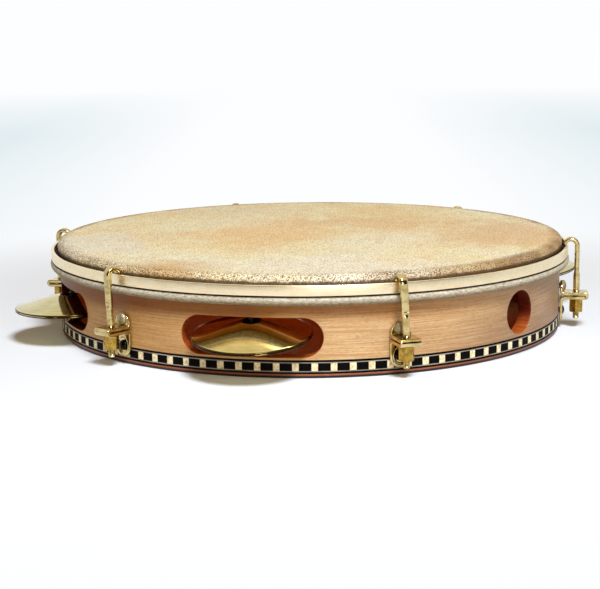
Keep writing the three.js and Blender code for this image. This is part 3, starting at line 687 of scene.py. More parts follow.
# Geometry tree: turns a profile of points round the Z axis, and stores a map of (distance from the axis in
# millimetres, hundredths of a turn).
def makeTurnedTree():
    tree, add, given = newTree("turnedPiece", {
        "Profile points": "Int", "Closing points": "Int", "Steps": "Int", "Finish": "Material"})
    columns = add("ShaderNodeMath", {0: given["Profile points"], 1: given["Closing points"]}, operation="ADD")
    rows = add("ShaderNodeMath", {0: given["Steps"], 1: 1.0}, operation="ADD")
    grid = add("GeometryNodeMeshGrid", {
        "Size X": 1.0, "Size Y": 1.0, "Vertices X": columns, "Vertices Y": rows})
    corner = add("ShaderNodeVectorMath", {0: add("GeometryNodeInputPosition"), 1: (0.5, 0.5, 0)},
                 operation="ADD")
    spot = add("ShaderNodeSeparateXYZ", {0: corner})
    lastColumn = add("ShaderNodeMath", {0: columns, 1: 1.0}, operation="SUBTRACT")
    column = add("ShaderNodeMath", {0: spot.outputs["X"], 1: lastColumn}, operation="MULTIPLY")
    whole = add("ShaderNodeMath", {0: column}, operation="ROUND")
    wrapped = add("ShaderNodeMath", {0: whole, 1: given["Profile points"]}, operation="MODULO")
    source = add("GeometryNodeSampleIndex", {
        "Geometry": given["Geometry"], "Value": add("GeometryNodeInputPosition"), "Index": wrapped},
        data_type="FLOAT_VECTOR", domain="POINT")
    profile = add("ShaderNodeSeparateXYZ", {0: source}).outputs
    turn = add("ShaderNodeMath", {0: spot.outputs["Y"], 1: fullTurn}, operation="MULTIPLY")
    turned = polarPlace(add, turn, profile["X"], profile["Z"])
    way = add("ShaderNodeCombineXYZ", {0: profile["X"], 1: spot.outputs["Y"]})
    own = add("ShaderNodeVectorMath", {0: way, 1: (1000.0, 100.0, 0)}, operation="MULTIPLY")
    mapped = add("GeometryNodeStoreNamedAttribute", {"Geometry": grid, "Name": "UVMap", "Value": own},
                 data_type="FLOAT2", domain="CORNER")
    placed = add("GeometryNodeSetPosition", {"Geometry": mapped, "Position": turned})
    merged = add("GeometryNodeMergeByDistance", {"Geometry": placed, "Distance": mm(weld)})
    real = add("GeometryNodeRealizeInstances", {"Geometry": merged})
    finished = add("GeometryNodeSetMaterial", {"Geometry": real, "Material": given["Finish"]})
    add("NodeGroupOutput", {"Geometry": finished})
    return tree


# Geometry tree: a copy of a piece for each point of the mesh that it is run on, turned round the Z axis
# towards that point; the copies stay at the middle.
def makeRoundTree():
    tree, add, given = newTree("piecesRoundDrum", {"Piece": "Object", "Finish": "Material"})
    spot = add("ShaderNodeSeparateXYZ", {0: add("GeometryNodeInputPosition")}).outputs
    turn = add("ShaderNodeMath", {0: spot["Y"], 1: spot["X"]}, operation="ARCTAN2")
    rotation = add("ShaderNodeCombineXYZ", {2: turn})
    piece = add("GeometryNodeObjectInfo", {"Object": given["Piece"]}).outputs["Geometry"]
    copies = add("GeometryNodeInstanceOnPoints", {
        "Points": given["Geometry"], "Instance": piece, "Rotation": rotation})
    centred = add("GeometryNodeSetPosition", {"Geometry": copies, "Position": add("ShaderNodeCombineXYZ")})
    real = add("GeometryNodeRealizeInstances", {"Geometry": centred})
    finished = add("GeometryNodeSetMaterial", {"Geometry": real, "Material": given["Finish"]})
    add("NodeGroupOutput", {"Geometry": finished})
    return tree


turnedTree = makeTurnedTree()
roundTree = makeRoundTree()


# A turned piece from (distance, height) pairs in millimetres. An open profile starts and ends on the axis.
def turnedMesh(profile, steps, finish, closed=True, edgeAngle=35.0):
    line = bpy.data.meshes.new("profile")
    line.from_pydata([(mm(x), 0, mm(z)) for x, z in profile], [], [])
    mesh = runTree(line, turnedTree, {"Profile points": len(profile), "Closing points": 1 if closed else 0,
                                      "Steps": steps, "Finish": finish})
    return finishMesh(mesh, edgeAngle)


# Copies of a piece round the drum, one at each angle, as one mesh.
def roundDrum(mesh, angles, finish, edgeAngle=35.0):
    piece = bpy.data.objects.new("piece", mesh)
    spots = bpy.data.meshes.new("spots")
    spots.from_pydata([(math.cos(a), math.sin(a), 0) for a in angles], [], [])
    copies = runTree(spots, roundTree, {"Piece": piece, "Finish": finish})
    bpy.data.objects.remove(piece)
    return finishMesh(copies, edgeAngle)


print("trees made")


# The wooden ring

ring = {
    "wall": 7.0, "height": 45.0, "bearingRound": 1.8, "footRound": 1.2, "innerRound": 0.5, "bareDepth": 4.0,
    "grooveFloor": 1.6, "grooveTop": 8.4, "grooveDepth": 0.8,
    "slotLength": 63.6, "slotHeight": 17.3, "slotZ": 18.05, "holeRadius": 10.0, "holeZ": 19.6,
    "edgeRound": 0.55, "edgeSteps": 3, "alongSteps": 60, "endSteps": 14, "faceRings": 9, "wallRings": 5,
    "rimSteps": 6, "innerSteps": 3, "edgeAngle": 50.0,
}


# The slots are centred on their pins, and the thumb hole on the space that the record keeps open for it.
def findOpenings():
    spaces = {space["name"]: space["box_m"] for space in frame["record"]["physics"]["openings"]}
    low, high = spaces["thumb_hole"]
    return [angleOf(node) for node in numbered("pin_", 5)] + [math.atan2(low[1] + high[1], low[0] + high[0])]


openingAngles = findOpenings()


# The outline of a slot or hole as (across, height, outward across, outward height), corner to corner round
# it. Its second half is the first, turned by half a turn.
def openingOutline(length, height, z):
    end = height / 2
    straight = length / 2 - end
    quarter = end * halfTurn / 4
    whole = 2 * straight + 2 * quarter
    half = []
    for i in range(ring["alongSteps"]):
        run = whole * i / ring["alongSteps"]
        if run < quarter:
            half.append((-straight, 3 * halfTurn / 4 - run / end))
        elif run > whole - quarter:
            half.append((straight, halfTurn / 2 - (run - whole + quarter) / end))
        else:
            half.append((run - quarter - straight, halfTurn / 2))
    for i in range(ring["endSteps"]):
        half.append((straight, halfTurn / 4 - halfTurn / 2 * i / ring["endSteps"]))
    return [(way * (x + end * math.cos(turn)), z + way * end * math.sin(turn),
             way * math.cos(turn), way * math.sin(turn)) for way in (1, -1) for x, turn in half]


# The edge of one bay of the wall as (angle, height), in the same order as an opening's outline.
def bayOutline(low, high):
    reach, middle, rise = hookStep / 2, (low + high) / 2, (high - low) / 2
    along, side = ring["alongSteps"], ring["endSteps"]
    half = [(reach * (2 * i / along - 1), rise) for i in range(along)]
    half += [(reach, rise * (1 - 2 * i / side)) for i in range(side)]
    return [(way * angle, middle + way * up) for way in (1, -1) for angle, up in half]


# One bay: loops from the bay's edge on the outer face, in through the opening, to its edge on the inner face.
# The opening lies a little to one side of the bay's middle, by the drift.
def bayLoops(opening, drift, outer, inner, lows, highs):
    rounding, steps = ring["edgeRound"], ring["edgeSteps"]

    def across(radius, y):
        return radius * math.sin(math.asin(y / radius) + drift)

    loops = []
    for radius, low, high, inward in ((outer, lows[0], highs[0], -1), (inner, lows[1], highs[1], 1)):
        edge = bayOutline(low, high)
        face = []
        for j in range(ring["faceRings"]):
            share = j / ring["faceRings"]
            loop = []
            for (angle, z), (y, dz, ny, nz) in zip(edge, opening):
                side = between(radius * math.sin(angle), across(radius, y + ny * rounding), share)
                loop.append((math.sqrt(radius ** 2 - side ** 2), side, between(z, dz + nz * rounding, share)))
            face.append(loop)
        for j in range(steps + 1):
            turn = halfTurn / 2 * j / steps
            out, deep = rounding * (1 - math.sin(turn)), rounding * (1 - math.cos(turn))
            level = radius + inward * deep
            sides = [across(level, y + ny * out) for y, z, ny, nz in opening]
            face.append([(math.sqrt(level ** 2 - side ** 2), side, z + nz * out)
                         for side, (y, z, ny, nz) in zip(sides, opening)])
        loops.append(face)
    walls = [[tuple(between(a, b, j / ring["wallRings"]) for a, b in zip(p, q))
              for p, q in zip(loops[0][-1], loops[1][-1])] for j in range(1, ring["wallRings"])]
    return loops[0] + walls + loops[1][::-1]


def buildRing():
    outer, inner = ringRadius, ringRadius - ring["wall"]
    top, foot = ring["height"], ring["footRound"]
    body = bmesh.new()
    lows = (ring["grooveTop"], foot)
    highs = (top - ring["bearingRound"], top - ring["innerRound"])
    slot = openingOutline(ring["slotLength"], ring["slotHeight"], ring["slotZ"])
    hole = openingOutline(2 * ring["holeRadius"], 2 * ring["holeRadius"], ring["holeZ"])
    for bay, opening in enumerate([slot] * 5 + [hole]):
        middleAngle = hookStep * (bay + 0.5)
        drift = (openingAngles[bay] - middleAngle + halfTurn) % fullTurn - halfTurn
        loops = bayLoops(opening, drift, outer, inner, lows, highs)
        turn = Matrix.Rotation(middleAngle, 3, "Z")
        rows = [[body.verts.new(mm(turn @ Vector(p))) for p in loop] for loop in loops]
        for j in range(len(rows) - 1):
            for i in range(len(rows[j])):
                k = (i + 1) % len(rows[j])
                face = body.faces.new((rows[j][i], rows[j][k], rows[j + 1][k], rows[j + 1][i]))
                face.material_index = 1 if j > ring["faceRings"] else 0
    # over the top edge, and round the foot with the groove for the inlay
    overTop = arc(outer - ring["bearingRound"], highs[0], ring["bearingRound"], 0, 90, ring["rimSteps"])
    overTop += arc(inner + ring["innerRound"], highs[1], ring["innerRound"], 90, 180, ring["innerSteps"])
    deep = outer - ring["grooveDepth"]
    under = [(outer, lows[0]), (deep, lows[0]), (deep, ring["grooveFloor"]), (outer, ring["grooveFloor"])]
    under += arc(outer - foot, foot, foot, 0, -90, ring["rimSteps"])
    under += arc(inner + foot, foot, foot, 270, 180, ring["rimSteps"])
    count = ring["alongSteps"] * 6
    for profile in (overTop, under):
        rows = []
        for i in range(count):
            angle = fullTurn * i / count
            rows.append([body.verts.new(mm(Vector((x * math.cos(angle), x * math.sin(angle), z))))
                         for x, z in profile])
        for i in range(count):
            nextRow = rows[(i + 1) % count]
            for j in range(len(profile) - 1):
                face = body.faces.new((rows[i][j], nextRow[j], nextRow[j + 1], rows[i][j + 1]))
                x = (profile[j][0] + profile[j + 1][0]) / 2
                face.material_index = 1 if x < outer - ring["bareDepth"] else 0
    mesh = bpy.data.meshes.new("woodenRing")
    body.to_mesh(mesh)
    body.free()
    mesh.materials.append(oiledBeech)
    mesh.materials.append(stainedBeech)
    finishMesh(mesh, ring["edgeAngle"])
    addPiece("woodenRing", mesh, "drum", ["shell"])


buildRing()
print("wooden ring made")


# The inlay strip

inlay = {
    "depth": 0.78, "floor": 1.62, "steps": 360, "edgeAngle": 30.0,
    # from the foot up, each row of the strip and the height that it reaches
    "rows": [("wood", 2.0), ("black", 2.9), ("string", 3.35), ("squares", 6.8), ("string", 7.25),
             ("black", 8.2), ("wood", 8.38)],
    "count": 95, "firstAngle": 2.88, "blackWidth": 5.1, "squareDepth": 0.5, "heightGap": 0.02,
    "widthGap": 0.35, "stand": 0.02, "sunk": 0.06, "jitter": 0.05, "seed": 7,
}


# Geometry tree: black and pale squares set alternately into the strip, no two cut quite alike.
def makeSquaresTree():
    sizes = ["First angle", "Radius", "Height", "Square height", "Black width", "Pale width", "Depth",
             "Jitter"]
    tree, add, given = newTree("inlaySquares", {
        "Count": "Int", **{label: "Float" for label in sizes}, "Seed": "Int", "Black": "Material",
        "Pale": "Material"})
    step = add("ShaderNodeMath", {0: fullTurn, 1: given["Count"]}, operation="DIVIDE")
    joined = add("GeometryNodeJoinGeometry")
    for number, label in enumerate(("Black", "Pale")):
        size = add("ShaderNodeCombineXYZ", {
            0: given["Depth"], 1: given[f"{label} width"], 2: given["Square height"]})
        block = add("GeometryNodeMeshCube", {"Size": size, "Vertices X": 2, "Vertices Y": 4, "Vertices Z": 3})
        painted = add("GeometryNodeSetMaterial", {"Geometry": block, "Material": given[label]})
        line = add("GeometryNodeMeshLine", {"Count": given["Count"], "Offset": (0, 0, 0)})
        whole = add("ShaderNodeMath", {0: add("GeometryNodeInputIndex"), 1: 0.5 * number}, operation="ADD")
        angle = add("ShaderNodeMath", {0: whole, 1: step, 2: given["First angle"]}, operation="MULTIPLY_ADD")
        spot = polarPlace(add, angle, given["Radius"], given["Height"])
        placed = add("GeometryNodeSetPosition", {"Geometry": line, "Position": spot})
        low = add("ShaderNodeMath", {0: 1.0, 1: given["Jitter"]}, operation="SUBTRACT")
        high = add("ShaderNodeMath", {0: 1.0, 1: given["Jitter"]}, operation="ADD")
        seed = add("ShaderNodeMath", {0: given["Seed"], 1: float(number)}, operation="ADD")
        wide = add("FunctionNodeRandomValue", {2: low, 3: high, "Seed": seed}, data_type="FLOAT")
        scale = add("ShaderNodeCombineXYZ", {0: 1.0, 1: wide, 2: 1.0})
        rotation = add("ShaderNodeCombineXYZ", {2: angle})
        copies = add("GeometryNodeInstanceOnPoints", {
            "Points": placed, "Instance": painted, "Rotation": rotation, "Scale": scale})
        tree.links.new(copies.outputs[0], joined.inputs[0])
    real = add("GeometryNodeRealizeInstances", {"Geometry": joined})
    add("NodeGroupOutput", {"Geometry": real})
    return tree


def buildInlay():
    finishes = {"wood": oiledBeech, "black": blackVeneer, "string": stringing, "squares": blackVeneer}
    outer, inner, floor = ringRadius, ringRadius - inlay["depth"], inlay["floor"]
    strips = bmesh.new()
    used = [oiledBeech, blackVeneer, stringing]
    for kind, top in inlay["rows"]:
        side = outer - inlay["sunk"] if kind == "squares" else outer
        profile = [(inner, floor), (side, floor), (side, top), (inner, top)]
        before = len(strips.faces)
        strips.from_mesh(turnedMesh(profile, inlay["steps"], finishes[kind]))
        for face in list(strips.faces)[before:]:
            face.material_index = used.index(finishes[kind])
        if kind == "squares":
            squareFloor, squareTop = floor, top
        floor = top
    mesh = bpy.data.meshes.new("inlayLines")
    strips.to_mesh(mesh)
    strips.free()
    for finish in used:
        mesh.materials.append(finish)
    shadeSmooth(mesh, inlay["edgeAngle"])
    addPiece("inlayLines", mesh, "drum", ["inlay_band"])
    pitch = fullTurn * outer / inlay["count"]
    squares = runTree(bpy.data.meshes.new("none"), makeSquaresTree(), {
        "Count": inlay["count"], "First angle": math.radians(inlay["firstAngle"]),
        "Radius": mm(outer + inlay["stand"] / 2 - inlay["squareDepth"] / 2),
        "Height": mm((squareFloor + squareTop) / 2),
        "Square height": mm(squareTop - squareFloor - inlay["heightGap"]),
        "Black width": mm(inlay["blackWidth"]),
        "Pale width": mm(pitch - inlay["blackWidth"] - inlay["widthGap"]), "Depth": mm(inlay["squareDepth"]),
        "Jitter": inlay["jitter"], "Seed": inlay["seed"], "Black": blackVeneer, "Pale": paleVeneer})
    addPiece("inlaySquares", squares, "drum", [])


buildInlay()
print("inlay made")


# The skin and its hoops

head = {
    "skin": 0.5, "clear": 0.3, "fleshInner": 127.8, "fleshOuter": 130.7, "fleshFloor": 33.5, "fleshTop": 35.9,
    "fleshRound": 1.1, "turnFrom": 128.6, "turnOut": 0.25, "turnUp": 0.1, "turnTop": 0.5, "sideTop": 40.0,
    "edgeX": 125.2, "edgeZ": 43.2, "bearingRound": 1.8,
    "hoopInner": 129.5, "hoopOuter": 131.0, "hoopFloor": 37.0, "hoopTop": 41.8, "hoopRound": 0.35,
    "steps": 360, "fleshSteps": 240, "faceRings": 40, "lapSteps": 6, "wireSteps": 5, "hoopSteps": 4,
    "edgeSteps": 8, "edgeAngle": 60.0,
}


# The round outer side of the flesh hoop, or of what follows it at a distance.
def fleshSide(distance, steps):
    rounding = head["fleshRound"]
    x = head["fleshOuter"] - rounding
    return (arc(x, head["fleshFloor"] + rounding, rounding + distance, -90, 0, steps)
            + arc(x, head["fleshTop"] - rounding, rounding + distance, 0, 90, steps))


# One face of the lapped skin, at a distance from the edge and the hoop that it follows, from its end to its
# middle.
def skinFace(distance):
    over, wall = head["fleshTop"] + distance, ringRadius + distance
    face = [(head["fleshInner"], head["fleshFloor"] - distance), *fleshSide(distance, head["lapSteps"])]
    face += [(head["turnFrom"], over), (wall + head["turnOut"], over + head["turnUp"])]
    face += [(wall, over + head["turnTop"]), (wall, head["sideTop"])]
    face += arc(head["edgeX"], head["edgeZ"], head["bearingRound"] + distance, 0, 90, head["edgeSteps"])
    rings = head["faceRings"]
    top = head["edgeZ"] + head["bearingRound"] + distance
    return face + [(head["edgeX"] * (1 - (i + 1) / rings), top) for i in range(rings)]


def buildHead():
    inside, outside = skinFace(head["clear"]), skinFace(head["clear"] + head["skin"])
    skin = turnedMesh(inside[::-1] + outside, head["steps"], goatSkin, closed=False,
                      edgeAngle=head["edgeAngle"])
    addPiece("goatSkinHead", skin, "drum", ["skin"])
    flesh = [(head["fleshInner"], head["fleshFloor"]), *fleshSide(0, head["wireSteps"]),
             (head["fleshInner"], head["fleshTop"])]
    wire = turnedMesh(flesh, head["fleshSteps"], hoopWire)
    addPiece("fleshHoop", wire, "drum", ["flesh_hoop"])
    soft, steps = head["hoopRound"], head["hoopSteps"]
    low, high = head["hoopFloor"] + soft, head["hoopTop"] - soft
    inner, outer = head["hoopInner"] + soft, head["hoopOuter"] - soft
    profile = arc(outer, low, soft, -90, 0, steps) + arc(outer, high, soft, 0, 90, steps)
    profile += arc(inner, high, soft, 90, 180, steps) + arc(inner, low, soft, 180, 270, steps)
    hoop = turnedMesh(profile, head["steps"], hoopPlating, edgeAngle=head["edgeAngle"])
    addPiece("counterHoop", hoop, "drum", ["counter_hoop"])


buildHead()
print("head made")


# Tension hooks, their nuts and brackets

hook = {
    "circle": 135.4, "rod": 1.6, "floor": 4.6, "chamfer": 0.5, "endRadius": 0.8,
    "leans": [0, 0, 0, 0, -1.1, -1.3], "leanFrom": 18.5,
    "threadTop": 19.6, "pitch": 0.635, "threadDepth": 0.2, "ringsPerThread": 6,
    "lowRings": [19.8, 22.0, 24.5], "flatZ": 26.5, "flatRun": 2.5, "flatRings": 6, "flatWidth": 3.7,
    "flatThickness": 2.5, "squareness": 1.0, "highRings": [31.0, 33.0, 35.0, 37.0, 39.0, 40.5],
    "bend": 3.1, "wrap": 165.0, "bendZ": 41.56, "tipWidth": 4.2, "tipThickness": 2.0,
    "notchZ": 29.6, "notchHalf": 0.3, "notchDepth": 0.4, "notchWidth": 1.1, "notchRings": 3,
    "sides": 32, "bendSteps": 36, "edgeAngle": 40.0,
}


def ease(share):
    share = min(max(share, 0.0), 1.0)
    return share * share * (3 - 2 * share)


# A section square to the rod: between a circle and a flattened bar with round edges.
def hookSection(x, z, turn, width, thickness, flat):
    power = 2.0 + hook["squareness"] * flat  # 2 is an ellipse, more is squarer
    loop = []
    for i in range(hook["sides"]):
        angle = fullTurn * i / hook["sides"]
        c, s = math.cos(angle), math.sin(angle)
        reach = (abs(c) ** power + abs(s) ** power) ** (-1 / power)
        out, side = reach * c * thickness / 2, reach * s * width / 2
        loop.append((x + out * math.cos(turn), side, z + out * math.sin(turn)))
    return loop


def hookMesh(lean):
    radius, circle, pitch, count = hook["rod"], hook["circle"], hook["pitch"], hook["sides"]
    spokes = [fullTurn * i / count for i in range(count)]
    z = hook["floor"]
    loops = [[(circle + math.cos(a) * hook["endRadius"], math.sin(a) * hook["endRadius"], z) for a in spokes]]
    while z < hook["threadTop"]:
        depth = hook["threadDepth"] * ease((hook["threadTop"] - z) / pitch)
        start = radius - hook["chamfer"] + (z - hook["floor"])
        waves = [0.5 + 0.5 * math.cos(fullTurn * z / pitch - a) for a in spokes]
        reaches = [min(radius - depth * wave, start) for wave in waves]
        loops.append([(circle + reach * math.cos(a), reach * math.sin(a), z)
                      for a, reach in zip(spokes, reaches)])
        z += pitch / hook["ringsPerThread"]
    heights = list(hook["lowRings"])
    heights += [hook["flatZ"] + hook["flatRun"] * i / hook["flatRings"] for i in range(hook["flatRings"] + 1)]
    rings = hook["notchRings"]
    heights += [hook["notchZ"] + hook["notchHalf"] * k / rings for k in range(-rings - 1, rings + 2)]
    for z in heights + hook["highRings"]:
        flat = ease((z - hook["flatZ"]) / hook["flatRun"])
        width = between(2 * radius, hook["flatWidth"], flat)
        thickness = between(2 * radius, hook["flatThickness"], flat)
        depth = hook["notchDepth"] * max(0.0, 1 - abs(z - hook["notchZ"]) / hook["notchHalf"]) ** 0.5
        loop = hookSection(circle, z, 0, width, thickness, flat)
        loops.append([(x - depth if x > circle and abs(y) < hook["notchWidth"] else x, y, up)
                      for x, y, up in loop])
    for i in range(hook["bendSteps"] + 1):
        share = i / hook["bendSteps"]
        turn = math.radians(hook["wrap"]) * share
        x = circle - hook["bend"] + hook["bend"] * math.cos(turn)
        z = hook["bendZ"] + hook["bend"] * math.sin(turn)
        loops.append(hookSection(x, z, turn, between(hook["flatWidth"], hook["tipWidth"], share),
                                 between(hook["flatThickness"], hook["tipThickness"], share), 1))

    def leanAt(z):  # the bend leans to the side of the rod's foot
        return lean * min(max((z - hook["leanFrom"]) / (hook["bendZ"] - hook["leanFrom"]), 0.0), 1.0)

    return loftMesh([[(x, y + leanAt(z), z) for x, y, z in loop] for loop in loops])


nut = {
    "flats": 6.35, "height": 6.4, "bore": 1.62, "lip": 0.35, "faceShare": 0.97, "chamferAngle": 28.0,
    "cornerRound": 0.12, "sides": 96, "edgeAngle": 20.0,
}


def nutMesh():
    half, height, sides = nut["flats"] / 2, nut["height"], nut["sides"]
    slope = math.tan(math.radians(nut["chamferAngle"]))
    start = half * nut["faceShare"]
    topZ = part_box("nut_1")[1].z * 1000
    # the bore, its lip, the flat face and the corners, as (reach, drop) at each step round
    levels = [[], [], [], []]
    spokes = [fullTurn * i / sides for i in range(sides)]
    for angle in spokes:
        fromFlat = (angle + halfTurn / 6) % (halfTurn / 3) - halfTurn / 6
        reach = min(half / math.cos(fromFlat), half / math.cos(halfTurn / 6) - nut["cornerRound"])
        spots = [(nut["bore"], nut["lip"]), (nut["bore"] + nut["lip"], 0), (min(start, reach), 0),
                 (reach, max(0.0, reach - start) * slope)]
        for level, spot in zip(levels, spots):
            level.append(spot)

    def loopAt(level, z, way):
        return [(hook["circle"] + reach * math.cos(a), reach * math.sin(a), z + way * drop)
                for a, (reach, drop) in zip(spokes, level)]

    under = [loopAt(level, topZ - height, 1) for level in levels]
    return loftMesh(under + [loopAt(level, topZ, -1) for level in reversed(levels)], closed=True)


bracket = {
    "width": 9.6, "strip": 1.5, "tabMiddle": 128.05, "shelfZ": 16.7, "slit": 0.6, "outer": 141.5,
    "bend": 1.5, "top": 23.8, "bottom": 3.5, "soft": 0.35, "endLeast": 0.02, "endSlope": 1.2, "endThin": 0.15,
    "softWidthShare": 0.5, "softThinShare": 0.8, "onTab": 0.01,  # a point this near to tabMiddle is on a tab
    "tabStep": 0.3, "shelfStep": 0.8, "bendSteps": 8, "foldSteps": 14, "dishFlat": 0.72, "dishWall": 0.3,
    # each rivet's dish as height, half width, half height and depth
    "dishes": {"upper": (21.2, 3.1, 2.9, 0.25), "lower": (8.9, 3.3, 4.3, 0.75)},
    "boreRadius": 1.95, "boreLength": 8.0, "boreSides": 48, "across": 18, "edgeAngle": 50.0,
    "cutEdgeAngle": 45.0,
}


# The strip's middle line from the top of the upper tab to the end of the lower one, with its outward
# direction.
def stripPath():
    half = bracket["strip"] / 2
    upper = bracket["shelfZ"] + bracket["slit"] / 2 + half
    lower = bracket["shelfZ"] - bracket["slit"] / 2 - half
    x, bend = bracket["tabMiddle"], bracket["bend"]
    fold = (upper - lower) / 2
    foldX = bracket["outer"] - half - fold
    path = []

    def line(start, end, out, step):
        steps = max(1, round(math.dist(start, end) / step))
        path.extend([(between(start[0], end[0], i / steps), between(start[1], end[1], i / steps), out)
                     for i in range(steps)])

    def corner(centre, radius, start, end, way, steps):
        for i in range(steps):
            turn = math.radians(between(start, end, i / steps))
            out, up = math.cos(turn), math.sin(turn)
            path.append((centre[0] + radius * out, centre[1] + radius * up, (way * out, way * up)))

    line((x, bracket["top"]), (x, upper + bend), (1, 0), bracket["tabStep"])
    corner((x + bend, upper + bend), bend, 180, 270, -1, bracket["bendSteps"])
    line((x + bend, upper), (foldX, upper), (0, 1), bracket["shelfStep"])
    corner((foldX, bracket["shelfZ"]), fold, 90, -90, 1, bracket["foldSteps"])
    line((foldX, lower), (x + bend, lower), (0, -1), bracket["shelfStep"])
    corner((x + bend, lower - bend), bend, 90, 180, -1, bracket["bendSteps"])
    line((x, lower - bend), (x, bracket["bottom"]), (1, 0), bracket["tabStep"])
    path.append((x, bracket["bottom"], (1, 0)))
    return path


# How deep the tabs' outward face is dished at a place.
def dishAt(side, z):
    deep = 0.0
    for middle, wide, tall, depth in bracket["dishes"].values():
        away = math.hypot(side / wide, (z - middle) / tall)
        deep += depth * (1 - ease((away - bracket["dishFlat"]) / bracket["dishWall"]))
    return deep


def bracketMesh():
    end, half, count = bracket["width"] / 2, bracket["strip"] / 2, bracket["across"]
    # the rounded edge of a face: its lean in degrees, and whether it is by this face (1) or by the other (-1)
    rounded = [(30, 1), (60, 1), (90, 1), (90, 0), (90, -1), (60, -1), (30, -1)]
    loops = []
    for x, z, out in stripPath():
        onTab = abs(x - bracket["tabMiddle"]) < bracket["onTab"]
        near = max(min(bracket["top"] - z, z - bracket["bottom"]) if onTab else end, bracket["endLeast"])
        wide = math.sqrt(end ** 2 - (end - near) ** 2) if near < end else end
        thin = min(half, near * bracket["endSlope"] + bracket["endThin"])
        soft = min(bracket["soft"], wide * bracket["softWidthShare"], thin * bracket["softThinShare"])
        section = []
        for side in (1, -1):  # the outward face, then the back
            for i in range(count + 1):
                y = side * (wide - soft) * (2 * i / count - 1)
                section.append((y, side * thin - (dishAt(y, z) if side == 1 and out == (1, 0) else 0.0)))
            for degrees, towards in rounded:
                lean = math.radians(degrees)
                section.append((side * (wide - soft + soft * math.sin(lean)),
                                side * towards * (thin - soft + soft * math.cos(lean))))
        loops.append([(x + out[0] * off, y, z + out[1] * off) for y, off in section])
    return loftMesh(loops)


# A hole for the rod through both layers of the shelf.
def boreThrough(mesh):
    cutterMesh = bpy.data.meshes.new("bore")
    shape = bmesh.new()
    radius = mm(bracket["boreRadius"])
    bmesh.ops.create_cone(shape, cap_ends=True, segments=bracket["boreSides"], radius1=radius,
                          radius2=radius, depth=mm(bracket["boreLength"]))
    bmesh.ops.translate(shape, verts=shape.verts, vec=(mm(hook["circle"]), 0, mm(bracket["shelfZ"])))
    shape.to_mesh(cutterMesh)
    shape.free()
    holder, cutter = newObject("holder", mesh), newObject("bore", cutterMesh)
    cut = holder.modifiers.new("bore", "BOOLEAN")
    cut.operation = "DIFFERENCE"
    cut.solver = "EXACT"
    cut.object = cutter
    result = bpy.data.meshes.new_from_object(holder.evaluated_get(bpy.context.evaluated_depsgraph_get()))
    bpy.data.objects.remove(holder)
    bpy.data.objects.remove(cutter)
    return result


rivet = {
    "shank": 1.4, "inside": 119.85, "outside": 128.8, "peen": 2.3, "peenHeight": 0.9, "peenRound": 0.5,
    "peenSteps": 4, "heads": {"upper": (2.75, 1.9), "lower": (2.4, 1.7)},  # radius and height
    "skirt": 0.25, "domeSteps": 10, "sides": 32, "edgeAngle": 50.0,
}


# A rivet along X: peened head inside the ring, shank, and a domed head outside that sits in its dish.
def rivetMesh(kind):
    z, _, _, depth = bracket["dishes"][kind]
    radius, height = rivet["heads"][kind]
    floor, inside = rivet["outside"] - depth, rivet["inside"]
    low, soft = inside - rivet["peenHeight"], rivet["peenRound"]
    profile = [(0, low), *arc(rivet["peen"] - soft, low + soft, soft, -90, 0, rivet["peenSteps"])]
    profile += [(rivet["peen"], inside), (rivet["shank"], inside), (rivet["shank"], floor)]
    profile += [(radius, floor), (radius, floor + rivet["skirt"])]
    for i in range(1, rivet["domeSteps"] + 1):
        turn = halfTurn / 2 * i / rivet["domeSteps"]
        up = between(floor + rivet["skirt"], floor + height, math.sin(turn))
        profile.append((radius * math.cos(turn), up))
    mesh = turnedMesh(profile, rivet["sides"], rivetAluminium, closed=False, edgeAngle=rivet["edgeAngle"])
    mesh.transform(Matrix.Translation((0, 0, mm(z))) @ Matrix.Rotation(halfTurn / 2, 4, "Y"))
    return mesh


def buildTensioners():
    hexagon = nutMesh()
    for i, angle in enumerate(hookAngles):
        number = i + 1
        rod = roundDrum(hookMesh(hook["leans"][i]), [angle], hardwarePlating, hook["edgeAngle"])
        addPiece(f"hook{number}", rod, f"tension_hook_{number}", [f"hook_{number}"])
        turned = roundDrum(hexagon, [angle], turnedBrass, nut["edgeAngle"])
        addPiece(f"nut{number}", turned, f"tension_nut_{number}", [f"nut_{number}"])
    strip = boreThrough(finishMesh(bracketMesh(), bracket["edgeAngle"]))
    strips = roundDrum(strip, hookAngles, hardwarePlating, bracket["cutEdgeAngle"])
    addPiece("brackets", strips, "drum", numbered("bracket_", 6))
    for kind, finish in (("upper", rivetAluminium), ("lower", rivetSteel)):
        heads = roundDrum(rivetMesh(kind), hookAngles, finish, rivet["edgeAngle"])
        addPiece(f"{kind}Rivets", heads, "drum", numbered(f"rivet_{kind}_", 6))


buildTensioners()
print("tension hooks, nuts and brackets made")


# Jingles on their pins

jingle = {
    "radius": 26.5, "rise": 6.4, "sheet": 0.5, "hole": 4.0, "curve": 1.25, "gap": 0.3, "softShare": 0.3,
    "stations": 28, "steps": 128, "edgeAngle": 60.0,
    "spinStep": 1.3,  # radians from one set to the next
}
damper = {"radius": 25.0, "sheet": 0.5, "soft": 0.12, "edgeAngle": 40.0}
pin = {
    "radius": 1.2, "circle": 123.5, "floor": 3.9, "top": 40.7, "soft": 0.2, "tipShare": 0.2, "point": 2.4,
    "ringFrom": 3, "sides": 24, "edgeAngle": 50.0,
}


def cupHeight(radius):
    return jingle["rise"] * (1 - (radius / jingle["radius"]) ** jingle["curve"])


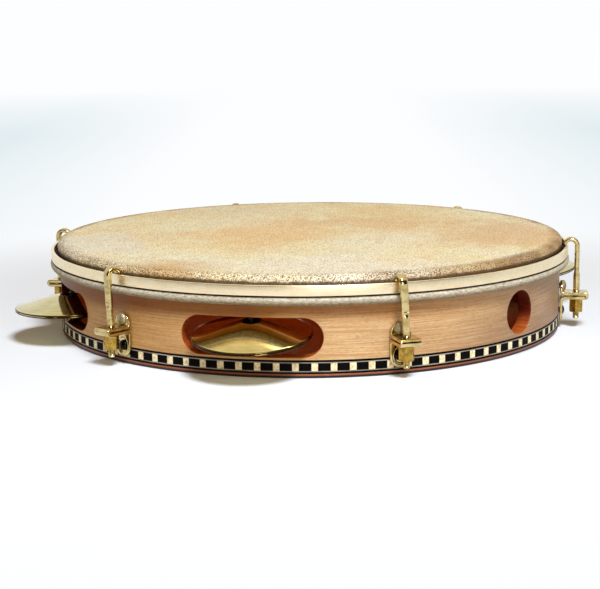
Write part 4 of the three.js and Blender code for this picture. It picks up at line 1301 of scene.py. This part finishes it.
# A cupped disc, hollow towards the middle of its set: side is 1 above and -1 below.
def cupMesh(side):
    hole, rim, sheet, stations = jingle["hole"], jingle["radius"], jingle["sheet"], jingle["stations"]
    soft = sheet * jingle["softShare"]
    radii = [between(hole + soft, rim - soft, i / stations) for i in range(stations + 1)]
    inner = [(r, jingle["gap"] / 2 + cupHeight(r)) for r in radii]
    outer = [(r, z + sheet) for r, z in inner]
    rimEdge = [(rim, inner[-1][1] + soft), (rim, outer[-1][1] - soft)]
    holeEdge = [(hole, outer[0][1] - soft), (hole, inner[0][1] + soft)]
    profile = inner + rimEdge + outer[::-1] + holeEdge
    return turnedMesh([(r, side * z) for r, z in profile], jingle["steps"], spunBrass,
                      edgeAngle=jingle["edgeAngle"])


def damperMesh():
    inner, outer, soft = jingle["hole"], damper["radius"], damper["soft"]
    low = jingle["gap"] / 2 - cupHeight(outer)
    high = low + damper["sheet"]
    profile = [(inner + soft, low), (outer - soft, low), (outer, low + soft), (outer, high - soft),
               (outer - soft, high), (inner + soft, high), (inner, high - soft), (inner, low + soft)]
    return turnedMesh(profile, jingle["steps"], stampedBrass, edgeAngle=damper["edgeAngle"])


def pinMesh():
    radius, low, high, soft = pin["radius"], pin["floor"], pin["top"], pin["soft"]
    profile = [(0, low), (radius * pin["tipShare"], low + soft), (radius, low + pin["point"])]
    profile += [(radius, low + pin["ringFrom"] + i) for i in range(int(high - low) - pin["ringFrom"] - 1)]
    profile += [(radius, high - soft), (radius - soft, high), (0, high)]
    mesh = turnedMesh(profile, pin["sides"], nailSteel, closed=False, edgeAngle=pin["edgeAngle"])
    mesh.transform(Matrix.Translation((mm(pin["circle"]), 0, 0)))
    return mesh


# Where a set stands: its middle and its tilt are read from the frame's joint for its damper.
def setPlace(number):
    joint = next(j for j in frame["joints"] if j["name"] == f"damper_{number}_spin")
    up = Vector(joint["axis"]).normalized()
    lean = Vector((0, 0, 1)).rotation_difference(up).to_matrix().to_4x4()
    return Matrix.Translation(Vector(joint["pos_m"])) @ lean


def buildJingles():
    shapes = (("upperJingle", "upper_cup_", "jingle_brass", "jingle_upper_", cupMesh(1)),
              ("lowerJingle", "lower_cup_", "jingle_brass", "jingle_lower_", cupMesh(-1)),
              ("damperDisc", "damper_disc_", "damper_brass", "damper_", damperMesh()))
    for number in range(1, 6):
        spin = Matrix.Rotation(number * jingle["spinStep"], 4, "Z")
        for name, body, slot, node, shape in shapes:
            mesh = shape.copy()
            mesh.transform(setPlace(number) @ spin)
            addPiece(f"{name}{number}", mesh, f"{body}{number}", [f"{node}{number}"])
    pins = roundDrum(pinMesh(), openingAngles[:5], nailSteel, pin["edgeAngle"])
    addPiece("jinglePins", pins, "drum", numbered("pin_", 5))


buildJingles()
print("jingles made")
